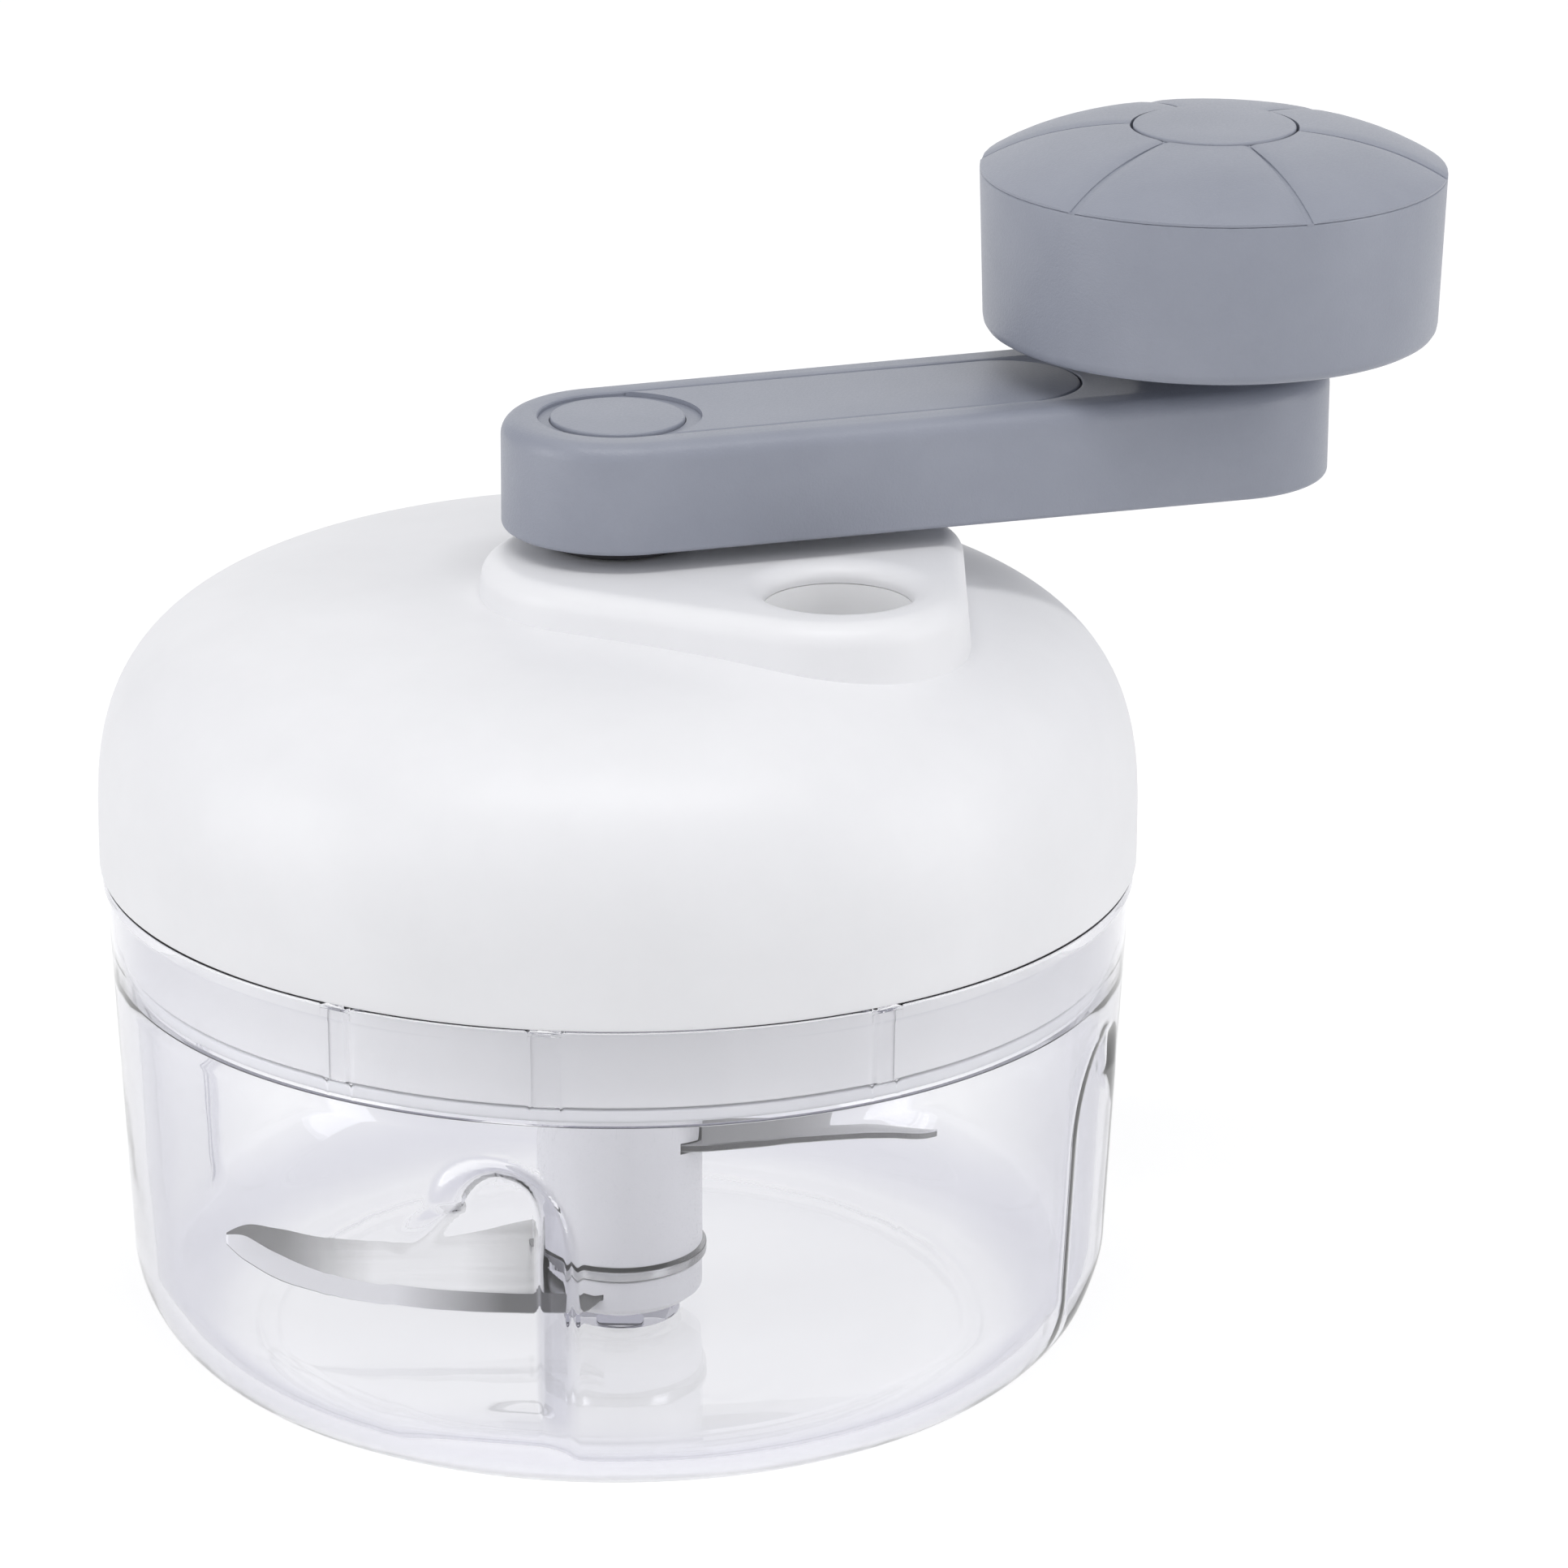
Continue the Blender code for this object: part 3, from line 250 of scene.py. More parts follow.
def pillow(name, circles, count, levels):
    rows = [[(x, y, z) for x, y in hull(circles, count, inset)] for inset, z in levels]
    return skin(name, rows)


def filleted(foot, top, radius, count, foot_radius=0.0):
    """Levels of a block with a round upper edge, and with a small round lower edge."""
    turns = [math.pi / 2 * i / (count - 1) for i in range(count)]
    upper = [(radius * (1 - math.cos(a)), top - radius * (1 - math.sin(a))) for a in turns]
    if not foot_radius:
        return [(0.0, foot)] + upper
    turns = [math.pi / 2 * i / 4 for i in range(5)]
    lower = [(foot_radius * (1 - math.sin(a)), foot + foot_radius * (1 - math.cos(a))) for a in turns]
    return lower + upper


def prism(name, outline, foot, top):
    return skin(name, [[(x, y, foot) for x, y in outline], [(x, y, top) for x, y in outline]])


def cylinder(name, centre, radius, foot, top, steps):
    return turned(name, [(0.0, top), (radius, top), (radius, foot), (0.0, foot)], steps, centre)


def boolean(obj, other, operation):
    """Cuts or joins an object with another, and removes the other."""
    modifier = obj.modifiers.new("boolean", "BOOLEAN")
    modifier.operation = operation
    modifier.solver = "EXACT"
    modifier.object = other
    bpy.context.view_layer.update()
    graph = bpy.context.evaluated_depsgraph_get()
    mesh = bpy.data.meshes.new_from_object(obj.evaluated_get(graph))
    obj.modifiers.clear()
    obj.data = mesh
    bpy.data.objects.remove(other)


def cut(obj, other):
    boolean(obj, other, "DIFFERENCE")


def join(obj, other):
    boolean(obj, other, "UNION")


def turn_points(points, angle):
    c, s = math.cos(angle), math.sin(angle)
    return [(x * c - y * s, x * s + y * c) for x, y in points]


def hexagon(radius):
    return [(x, y) for x, y, _ in ring_of(radius, 0.0, 6)]


def along_arm(distance):
    return turn_points([(distance, 0.0)], ARM_ANGLE)[0]


def polar(radius, degrees):
    return radius * math.cos(math.radians(degrees)), radius * math.sin(math.radians(degrees))


def smooth(value):
    value = min(max(value, 0.0), 1.0)
    return value * value * (3.0 - 2.0 * value)


def dress(obj, body, slot, material, *nodes, angle=32.0):
    """Shades a piece, with sharp edges past an angle in degrees, and puts it on its body."""
    mesh = obj.data
    mesh.materials.clear()
    mesh.materials.append(material)
    mesh.shade_smooth()
    mesh.set_sharp_from_angle(angle=math.radians(angle))
    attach(obj, body)
    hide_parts(*nodes)


# Materials

def new_material(name):
    mat = bpy.data.materials.new(name)
    mat.use_nodes = True
    nodes, links = mat.node_tree.nodes, mat.node_tree.links
    return mat, nodes, links, nodes["Principled BSDF"]


def noise(nodes, links, scale, detail, roughness=0.6, stretch=None):
    coords = nodes.new("ShaderNodeTexCoord")
    mapping = nodes.new("ShaderNodeMapping")
    if stretch:
        mapping.inputs["Scale"].default_value = stretch
    texture = nodes.new("ShaderNodeTexNoise")
    texture.inputs["Scale"].default_value = scale
    texture.inputs["Detail"].default_value = detail
    texture.inputs["Roughness"].default_value = roughness
    links.new(coords.outputs["Object"], mapping.inputs["Vector"])
    links.new(mapping.outputs["Vector"], texture.inputs["Vector"])
    return texture.outputs["Fac"]


def span(nodes, links, value, low, high, source=(0.3, 0.7)):
    """Maps a value from a source range, by default most of a noise's, to a range from low to high."""
    remap = nodes.new("ShaderNodeMapRange")
    remap.inputs["From Min"].default_value = source[0]
    remap.inputs["From Max"].default_value = source[1]
    remap.inputs["To Min"].default_value = low
    remap.inputs["To Max"].default_value = high
    links.new(value, remap.inputs["Value"])
    return remap.outputs["Result"]


def tint(nodes, links, value, low, high):
    """Turns a value into a colour between two, over the middle of its range."""
    colours = nodes.new("ShaderNodeValToRGB")
    for point, place, colour in zip(colours.color_ramp.elements, (0.3, 0.7), (low, high)):
        point.position = place
        point.color = (*colour, 1.0)
    links.new(value, colours.inputs["Fac"])
    return colours.outputs["Color"]


def math_node(nodes, links, operation, first, second=None):
    node = nodes.new("ShaderNodeMath")
    node.operation = operation
    links.new(first, node.inputs[0])
    if second is not None:
        links.new(second, node.inputs[1])
    return node.outputs[0]


def blend(nodes, links, share, first, second):
    """Mixes a colour with a second one, which is a socket or three fixed numbers."""
    mix = nodes.new("ShaderNodeMix")
    mix.data_type = "RGBA"
    links.new(share, mix.inputs[0])
    links.new(first, mix.inputs[6])
    if isinstance(second, tuple):
        mix.inputs[7].default_value = (*second, 1.0)
    else:
        links.new(second, mix.inputs[7])
    return mix.outputs[2]


def attribute(nodes, name):
    node = nodes.new("ShaderNodeAttribute")
    node.attribute_name = name
    return node.outputs["Fac"]


def axes(nodes, links, vector):
    """The three parts of a vector."""
    split = nodes.new("ShaderNodeSeparateXYZ")
    links.new(vector, split.inputs["Vector"])
    return split.outputs


def bump(nodes, links, height, distance, normal=None):
    """A bump whose distance is in millimetres, laid over another one if there is one."""
    node = nodes.new("ShaderNodeBump")
    node.inputs["Distance"].default_value = distance * MM
    links.new(height, node.inputs["Height"])
    if normal is not None:
        links.new(normal, node.inputs["Normal"])
    return node.outputs["Normal"]


def see_through(nodes, colour):
    node = nodes.new("ShaderNodeBsdfTransparent")
    node.inputs["Color"].default_value = (*colour, 1.0)
    return node.outputs[0]


def diffuse(nodes, tone):
    node = nodes.new("ShaderNodeBsdfDiffuse")
    node.inputs["Color"].default_value = (tone, tone, tone, 1.0)
    return node.outputs[0]


def shader_mix(nodes, links, share, first, second):
    mix = nodes.new("ShaderNodeMixShader")
    links.new(share, mix.inputs["Fac"])
    links.new(first, mix.inputs[1])
    links.new(second, mix.inputs[2])
    return mix.outputs["Shader"]


def ray_mix(nodes, links, plain, seen, rays):
    """Shows the second shader to the listed kinds of ray, and the first to the rest."""
    path = nodes.new("ShaderNodeLightPath")
    total = path.outputs[rays[0]]
    for ray in rays[1:]:
        total = math_node(nodes, links, "MAXIMUM", total, path.outputs[ray])
    return shader_mix(nodes, links, total, plain, seen)


def moulded(name, dark, light, rough, grain, depth):
    """Moulded plastic: a fine spark-eroded grain, with slow changes in colour and in gloss."""
    mat, nodes, links, shader = new_material(name)
    cloud = noise(nodes, links, 60.0, 4.0)
    fine = noise(nodes, links, grain, 2.0, 0.7)
    links.new(tint(nodes, links, cloud, dark, light), shader.inputs["Base Color"])
    links.new(span(nodes, links, fine, rough - 0.05, rough + 0.06), shader.inputs["Roughness"])
    links.new(bump(nodes, links, fine, depth), shader.inputs["Normal"])
    return mat


def clear_plastic():
    """Clear moulded plastic, with painted shade, a grey in its colour, where it is seen edge-on and where
    its wall steps.

    Light that keeps turning back inside the wall leaves it after a few bounces.
    """
    mat, nodes, links, shader = new_material("clear_plastic")
    shader.inputs["Transmission Weight"].default_value = 1.0
    shader.inputs["IOR"].default_value = 1.47
    shader.inputs["Roughness"].default_value = 0.0
    wave = noise(nodes, links, 55.0, 2.0)
    body = tint(nodes, links, wave, (0.954, 0.955, 0.970), (0.968, 0.969, 0.981))

    facing = nodes.new("ShaderNodeLayerWeight")
    facing.inputs["Blend"].default_value = 0.5
    edge = span(nodes, links, facing.outputs["Facing"], 0.0, 1.0, (0.34, 0.74))
    normal = nodes.new("ShaderNodeNewGeometry").outputs["Normal"]
    level = math_node(nodes, links, "ABSOLUTE", axes(nodes, links, normal)["Z"])
    upright = span(nodes, links, level, 1.0, 0.0, (0.84, 0.97))
    edge = math_node(nodes, links, "MULTIPLY", edge, upright)
    # Painted shade: the colour turns grey where the wall is seen edge-on, and where the step attribute marks
    # a slope
    painted_edge_shade, painted_slope_shade = (0.6, 0.6, 0.66), (0.78, 0.78, 0.835)
    body = blend(nodes, links, edge, body, painted_edge_shade)
    body = blend(nodes, links, attribute(nodes, "step"), body, painted_slope_shade)
    links.new(body, shader.inputs["Base Color"])
    links.new(bump(nodes, links, wave, 0.05), shader.inputs["Normal"])

    dim = see_through(nodes, (0.62, 0.62, 0.67))
    clear = see_through(nodes, (0.985, 0.985, 0.99))
    path = nodes.new("ShaderNodeLightPath")
    deep = span(nodes, links, path.outputs["Ray Depth"], 0.0, 1.0, (6.0, 7.0))
    trapped = shader_mix(nodes, links, deep, shader.outputs[0], dim)
    both = ray_mix(nodes, links, trapped, clear, ("Is Shadow Ray",))
    links.new(both, nodes["Material Output"].inputs["Surface"])
    return mat


def brushed_steel(name, dark, light, rough, stretch):
    """Turned steel, with fine lines that stretch lays round the part."""
    mat, nodes, links, shader = new_material(name)
    shader.inputs["Metallic"].default_value = 1.0
    lines = noise(nodes, links, 900.0, 4.0, 0.7, stretch)
    cloud = noise(nodes, links, 90.0, 2.0)
    links.new(tint(nodes, links, cloud, dark, light), shader.inputs["Base Color"])
    links.new(span(nodes, links, lines, rough - 0.07, rough + 0.1), shader.inputs["Roughness"])
    links.new(bump(nodes, links, lines, 0.006), shader.inputs["Normal"])
    return mat


def painted_light_ramp(nodes, links, value, stops):
    """A grey ramp through pairs of a place and a tone, for painted reflections."""
    grey = nodes.new("ShaderNodeValToRGB")
    points = grey.color_ramp.elements
    while len(points) < len(stops):
        points.new(0.5)
    for point, (place, tone) in zip(points, stops):
        point.position = place
        point.color = (tone, tone, tone * 1.01, 1.0)
    links.new(value, grey.inputs["Fac"])
    return grey.outputs["Color"]


def blade_steel_painted_light(name, face_painted_stops, bevel_painted_stops, hollow):
    """Satin blade steel: painted reflections along the blade, a hollow-ground face, and marked, less
    metallic faces with painted light of their own.

    The painted reflections run over 96 mm along X, with the axis in the middle.
    """
    mat, nodes, links, shader = new_material(name)
    coords = nodes.new("ShaderNodeTexCoord")
    place = axes(nodes, links, coords.outputs["Object"])
    along = span(nodes, links, place["X"], 0.0, 1.0, (-0.048, 0.048))
    bevel = attribute(nodes, "bevel")
    links.new(span(nodes, links, bevel, 1.0, 0.25, (0.0, 1.0)), shader.inputs["Metallic"])
    face_painted_light = painted_light_ramp(nodes, links, along, face_painted_stops)
    bevel_painted_light = painted_light_ramp(nodes, links, along, bevel_painted_stops)
    links.new(blend(nodes, links, bevel, face_painted_light, bevel_painted_light), shader.inputs["Base Color"])
    lines = noise(nodes, links, 700.0, 3.0, 0.6, (0.04, 1.0, 0.4))
    links.new(span(nodes, links, lines, 0.17, 0.26), shader.inputs["Roughness"])
    fine = bump(nodes, links, lines, 0.002)
    grind = span(nodes, links, bevel, hollow, 0.0, (0.0, 1.0))
    height = math_node(nodes, links, "MULTIPLY", place["Y"], grind)
    links.new(bump(nodes, links, height, 1.0 / MM, fine), shader.inputs["Normal"])
    return mat


CLEAR = clear_plastic()
# A lighter copy of the white plastic for the lid base and the port tube: painted light where they sit in
# shade behind the clear collar and down the port
WHITE_PAINTED_LIGHT = moulded("white_painted_light", (0.92, 0.92, 0.925), (0.94, 0.94, 0.945), 0.4, 5200.0, 0.004)
WHITE = moulded("white_plastic", (0.80, 0.80, 0.815), (0.83, 0.83, 0.845), 0.42, 5200.0, 0.006)
HUB_WHITE = moulded("hub_white", (0.77, 0.77, 0.79), (0.80, 0.80, 0.82), 0.3, 4000.0, 0.004)
GREY = moulded("grey_plastic", (0.262, 0.279, 0.332), (0.292, 0.309, 0.364), 0.38, 3000.0, 0.045)
DARK = moulded("dark_plastic", (0.030, 0.030, 0.034), (0.042, 0.042, 0.047), 0.4, 4600.0, 0.01)
NATURAL = moulded("natural_plastic", (0.70, 0.69, 0.64), (0.78, 0.77, 0.72), 0.42, 3500.0, 0.01)
# Light silicone, made whiter still as a painted highlight on the seal's band under the lid
SILICONE_PAINTED_HIGHLIGHT = moulded("silicone", (0.88, 0.885, 0.90), (0.92, 0.925, 0.94), 0.5, 3000.0, 0.01)
# Painted reflections: the lower blade dark at its tip, bright in its middle and grey at its root, its bevel
# bright towards the tip and dark towards the root; the upper blade brighter towards its tip, with a dark
# back
LOWER_STEEL_PAINTED_LIGHT = blade_steel_painted_light(
    "lower_blade_steel_painted_light", ((0.0, 0.14), (0.07, 0.26), (0.19, 0.95), (0.3, 0.95), (0.42, 0.52)),
    ((0.0, 0.97), (0.2, 0.97), (0.36, 0.15)), -0.38)
UPPER_STEEL_PAINTED_LIGHT = blade_steel_painted_light(
    "upper_blade_steel_painted_light", ((0.6, 0.4), (0.7, 0.5), (0.82, 0.85), (0.9, 0.95)),
    ((0.6, 0.08), (0.75, 0.12), (1.0, 0.3)), 0.3)
TURNED_STEEL = brushed_steel("turned_steel", (0.52, 0.52, 0.54), (0.62, 0.62, 0.64), 0.26, (0.4, 0.4, 3.0))


# Bowl

def ramp(value):
    """Rises evenly from 0 to 1, with a small round at each end."""
    value = value * 1.24 - 0.12
    if value < 0.12:
        return max(0.0, value + 0.12) ** 2 / 0.48
    if value < 0.88:
        return value
    return 1.0 - max(0.0, 1.12 - value) ** 2 / 0.48


def off_line(angle, line):
    """The signed difference in degrees between an angle and a line."""
    return (angle - line + 180.0) % 360.0 - 180.0


def flute(angle, z, inner):
    """The bowl wall's step inwards at an angle in degrees and a height, and how much of a slope is there."""
    depth = slope = 0.0
    for line, side, deep in FLUTES:
        along = math.radians(off_line(angle, line)) * side * FLUTE_R
        if not 0.0 < along < FLUTE_WIDTH:
            continue
        inside, step = along, FLUTE_SLOPE
        if z > HOOK_Z and along <= HOOK_MIDDLE:
            up = (z - HOOK_Z) / HOOK_HEIGHT
            reach = 1.0 - math.hypot((along - HOOK_MIDDLE) / HOOK_MIDDLE, up)
            inside = reach * (HOOK_MIDDLE + (HOOK_HEIGHT - HOOK_MIDDLE) * up)
            step = FLUTE_SLOPE - HOOK_NARROWING * smooth((z - HOOK_Z) / 10.0)
        elif z > HOOK_Z:
            up = max(0.0, z - HOOK_END_Z) / HOOK_END_HEIGHT
            reach = 1.0 - math.hypot((along - HOOK_MIDDLE) / HOOK_END_WIDTH, up)
            inside = reach * HOOK_END_HEIGHT + HOOK_END_LEAN * max(0.0, HOOK_END_Z - z)
            narrow = 1.0 - smooth((HOOK_END_Z - z) / (HOOK_END_Z - HOOK_Z))
            step = FLUTE_SLOPE - HOOK_NARROWING * narrow
        run_out = 1.0 - smooth((along - FLUTE_SLOPE) / (FLUTE_WIDTH - FLUTE_SLOPE))
        foot = smooth((z - FLUTE_FOOT_Z) / FLUTE_FOOT_RISE)
        share = ramp((inside - INNER_LAG) / step) if inner else ramp(inside / step)
        depth = max(depth, deep * share * run_out * foot)
        slope = max(slope, math.sqrt(4.0 * share * (1.0 - share)) * run_out * foot)
    return depth, slope


def key_share(angle):
    """One on a key of the collar, and falling to nothing over its rounded sides."""
    off = min(abs(off_line(angle, key)) for key in KEY_ANGLES)
    return 1.0 - smooth((math.radians(off) * KEY_R - KEY_FLAT) / KEY_SLOPE)


def bowl_angles():
    """The angles of the bowl's columns, which lie closer together on the flutes and the keys."""
    angles = set()
    for line, side, _ in FLUTES:
        for step in range(-3, 69):
            angles.add(round((line + side * math.degrees(step * FLUTE_COLUMN / FLUTE_R)) % 360.0, 4))
    for key in KEY_ANGLES:
        for step in range(-7, 8):
            angles.add(round((key + math.degrees(step * KEY_COLUMN / KEY_R)) % 360.0, 4))
    dense = sorted(angles)
    for first, second in zip(dense, dense[1:] + [dense[0] + 360.0]):
        parts = max(1, math.ceil((second - first) / WIDEST_COLUMN))
        for part in range(1, parts):
            angles.add(round((first + (second - first) * part / parts) % 360.0, 4))
    return sorted(angles)


def wall_radius(z):
    return CORNER_X + CORNER_R + WALL_SPREAD * (z - CORNER_R) / WALL_HEIGHT


def bowl_profile():
    """The bowl's half section, up its outside and back down its inside to the centre post's well."""
    walls = [16.0, 19.0, 22.0, 25.0, 28.0] + [30.0 + 0.6 * i for i in range(28)] + [47.4]
    profile = [(0.0, 0.0), (20.0, 0.0), (43.0, 0.0), (44.2, 0.0, 0.3), (46.0, 0.12)]
    profile += arc((CORNER_X, CORNER_R), CORNER_R, math.radians(-78), 0.0, 22)
    profile += [(wall_radius(z), z) for z in walls]
    profile += [(61.5, 59.2), (61.9, 59.9, 0.3), (61.9, 61.4, 0.35), (60.3, 61.4, 0.3)]
    profile += [(60.26, 60.44), (60.25, 60.4), (59.77, 51.8), (59.76, 51.76)]
    profile += [(59.69, 49.3, 0.25), (58.59, 49.3, 0.3)]
    profile += [(wall_radius(z) - WALL, z) for z in reversed(walls)]
    profile += arc((CORNER_X, CORNER_R), CORNER_R - WALL, 0.0, math.radians(-90), 20)
    profile += [(CORNER_X - BEAD_STEP * i, WALL + BEAD_HEIGHT * math.sin(math.pi * i / 9) ** 2)
                for i in range(10)]
    profile += [(20.0, WALL), (7.4, WALL, 0.8), (6.0, 3.4, 0.3)]
    profile += [(5.2, 4.4, 0.3), (2.3, 4.4, 0.2), (2.3, 1.3), (0.0, 1.3)]
    return rounded(profile, False)


def make_bowl():
    rows, steps = [], []
    angles = bowl_angles()
    inner = False
    for r, z in bowl_profile():
        inner = inner or z > RIM_Z
        if r < 0.01:
            rows.append([(0.0, 0.0, z)])
            steps.append(0.0)
            continue
        # In the lower corner a flute moves both faces of the wall along the corner's radius
        turn, level = 0.0, z
        if r > CORNER_X and z < CORNER_R:
            turn = math.atan2(CORNER_R - z, r - CORNER_X)
            level = CORNER_R - CORNER_R * math.sin(turn)
        fluted = r > CORNER_X + 0.2 and z < FLUTE_TOP_Z
        in_key_band = inner and KEY_BAND[0] < z < KEY_BAND[1]
        # Painted shade: the step attribute greys the clear plastic on the lower corner's round and on each
        # flute's slope
        corner = CORNER_PAINTED_SHADE * math.sin(2.0 * turn) ** 2
        ring = []
        for angle in angles:
            inset, slope = flute(angle, level, inner) if fluted else (0.0, 0.0)
            steps.append(max(corner, slope))
            if in_key_band:
                inset = KEY_DEPTH * key_share(angle)
            ring.append((*polar(r - inset * math.cos(turn), angle), z + inset * math.sin(turn)))
        rows.append(ring)
    bowl = skin("clear_bowl", rows)
    bowl.data.attributes.new("step", "FLOAT", "POINT").data.foreach_set("value", steps)
    dress(bowl, "bowl_body", "clear_plastic", CLEAR, "bowl", angle=40.0)


# Lid

def dome_profile(inset, count):
    """The dome's half section from its top down, fuller than an ellipse."""
    outer, height = DOME_R - inset, DOME_HEIGHT - inset
    profile = [(0.0, DOME_FOOT_Z + height)]
    for step in range(1, count + 1):
        turn = math.pi / 2 * (1 - step / count)
        r = outer * math.cos(turn) ** (2 / DOME_POWERS[0])
        profile.append((r, DOME_FOOT_Z + height * math.sin(turn) ** (2 / DOME_POWERS[1])))
    return profile


def make_lid():
    profile = dome_profile(0.0, 56) + [(DOME_R, 63.5), (DOME_R, 61.7, 0.35), (60.4, 61.7, 0.2)]
    shell = turned("white_lid", profile + [(60.4, 62.4), (0.0, 62.4)], 160)
    fillet = [(0.5 + inset, z) for inset, z in filleted(97.0, PLATFORM_Z, 2.8, 12)[1:]]
    join(shell, pillow("platform", PLATFORM, 150, [(0.0, 88.0), (0.0, 92.0)] + fillet))
    cut(shell, turned("dome_inside", dome_profile(DOME_WALL, 20) + [(60.4, 59.0), (0.0, 59.0)], 72))
    cut(shell, pillow("pocket", PLATFORM, 60, [(2.3, 87.0), (2.3, 96.0), (3.8, 97.6)]))
    turns = [math.pi / 2 * i / 11 for i in range(12)]
    port = [(0.0, 104.0), (13.0, 104.0), (13.0, PLATFORM_Z + 0.01)]
    port += [(11.6 - 2.85 * math.sin(a), 98.0 + 2.0 * math.cos(a)) for a in turns]
    port += [(8.75, 97.52), (9.8, 97.52), (9.8, 70.0), (0.0, 70.0)]
    cut(shell, turned("port_hole", port, 96, PORT))
    cut(shell, cylinder("bush_hole", (0, 0), 6.0, 90.0, 103.0, 40))
    for number, angle in enumerate(LID_SCREWS):
        place = polar(LID_SCREW_R, angle)
        join(shell, cylinder(f"boss_{number}", place, 3.0, 54.4, 90.5, 24))
        cut(shell, cylinder(f"pilot_{number}", place, 1.5, 50.0, 65.5, 16))
    dress(shell, "lid", "white_plastic", WHITE, "lid_shell", angle=30.0)

    tube = [(PORT_R, 97.5), (9.5, 97.5), (9.5, 55.6, 0.2), (10.5, 55.4, 0.2), (10.5, 54.3, 0.2),
            (PORT_R, 54.3)]
    tube = turned("port_tube", tube, 72, PORT, ring=True)
    dress(tube, "lid", "white_plastic", WHITE_PAINTED_LIGHT, "filler_tube")

    bush = [(4.3, 101.6, 0.2), (8.4, 101.6, 0.5), (8.4, 100.3, 0.3), (5.7, 100.3), (5.7, 91.0, 0.3),
            (4.3, 91.0)]
    dress(turned("bush", bush, 72, ring=True), "lid", "dark_plastic", DARK, "shaft_bush")


def key_block(name, angle, width, inner, outer, foot, top):
    corners = [(inner, -width / 2), (outer, -width / 2), (outer, width / 2), (inner, width / 2)]
    return prism(name, turn_points(corners, math.radians(angle)), foot, top)


def make_lid_base():
    profile = [(57.4, 66.0, 0.3), (59.0, 66.0, 0.3), (60.0, 63.6, 0.3), (60.0, 62.0, 0.3)]
    profile += [(59.0, 62.0, 0.2), (59.0, 51.5, 0.3), (57.3, 51.5), (57.3, 50.0, 0.3)]
    profile += [(56.4, 50.0, 0.3), (56.4, 52.0, 0.4), (7.0, 52.0, 0.4), (7.0, 49.8, 0.3)]
    profile += [(4.0, 49.8, 0.2), (4.0, 54.0, 0.2), (57.4, 54.0, 0.4)]
    base = turned("lid_inner", profile, 160, ring=True)
    cut(base, cylinder("base_port", PORT, PORT_R, 48.0, 56.0, 72))
    for number, angle in enumerate(LUGS):
        place = polar(LUG_R, angle)
        join(base, cylinder(f"base_boss_{number}", place, 2.6, 49.6, 53.0, 28))
        cut(base, cylinder(f"base_pilot_{number}", place, 1.3, 50.6, 56.0, 16))
    for number, angle in enumerate(LID_SCREWS):
        cut(base, cylinder(f"base_hole_{number}", polar(LID_SCREW_R, angle), 1.5, 50.0, 56.0, 16))
    for number, angle in enumerate(KEY_ANGLES):
        cut(base, key_block(f"slot_{number}", angle, 3.2, 58.8, 61.0, 50.5, 60.7))
    dress(base, "lid", "white_plastic", WHITE_PAINTED_LIGHT, "lid_base")
    seal = [(58.9, 51.2, 0.3), (58.9, 49.6, 0.5), (57.6, 49.6, 0.3), (57.6, 51.2, 0.2)]
    dress(turned("seal", seal, 160, ring=True), "lid", "silicone", SILICONE_PAINTED_HIGHLIGHT, "lid_seal")


# Crank

def make_arm():
    end = along_arm(ARM_LENGTH)
    arm = pillow("arm", ((0, 0, ARM_R), (*end, ARM_END_R)), 128,
                 filleted(ARM_FOOT_Z, ARM_TOP_Z, 2.2, 10, foot_radius=0.6))
    join(arm, cylinder("arm_boss", (0, 0), 7.4, 101.9, ARM_FOOT_Z + 1, 64))
    join(arm, cylinder("arm_neck", end, 9.0, ARM_TOP_Z - 1, KNOB_FOOT_Z - 0.4, 64))
    far = along_arm(PANEL_END - PANEL_R)
    levels = [(inset, ARM_TOP_Z + rise)
              for inset, rise in ((0.0, -0.62), (0.0, -0.25), (-0.12, -0.07), (-0.4, 0.06))]
    room = PANEL_R + 0.25
    cut(arm, pillow("arm_recess", ((0, 0, room), (*far, room)), 110, levels))
    well = [(0.0, 119), (8.1, 119), (8.1, 113.0), (5.2, 113.0), (5.2, 109.0), (0.0, 109.0)]
    cut(arm, turned("arm_well", well, 80))
    cut(arm, prism("arm_socket", turn_points(hexagon(4.25), ARM_ANGLE), 99.0, 110.0))
    cut(arm, cylinder("axle_hole", end, 3.8, 105.7, 125.0, 32))
    dress(arm, "crank", "grey_plastic", GREY, "crank_arm", angle=28.0)

    panel = pillow("panel", ((0, 0, PANEL_R), (*far, PANEL_R)), 110,
                   filleted(ARM_TOP_Z - 0.6, ARM_TOP_Z - 0.05, 0.3, 5))
    cut(panel, cylinder("panel_hollow", (0, 0), 10.0, 112, 118, 96))
    dress(panel, "crank", "grey_plastic", GREY, "arm_panel", angle=35.0)

    cap = [(0.0, ARM_TOP_Z - 0.1), (8.0, ARM_TOP_Z - 0.1, 0.3), (8.0, 113.3), (0.0, 113.3)]
    dress(turned("cap", cap, 96), "crank", "grey_plastic", GREY, "crank_cap")


def groove_half(radius):
    """Half the width of the groove between two petals, which widens towards the rim."""
    return 0.07 + 0.34 * (radius - DISC_R) / (KNOB_R - DISC_R)


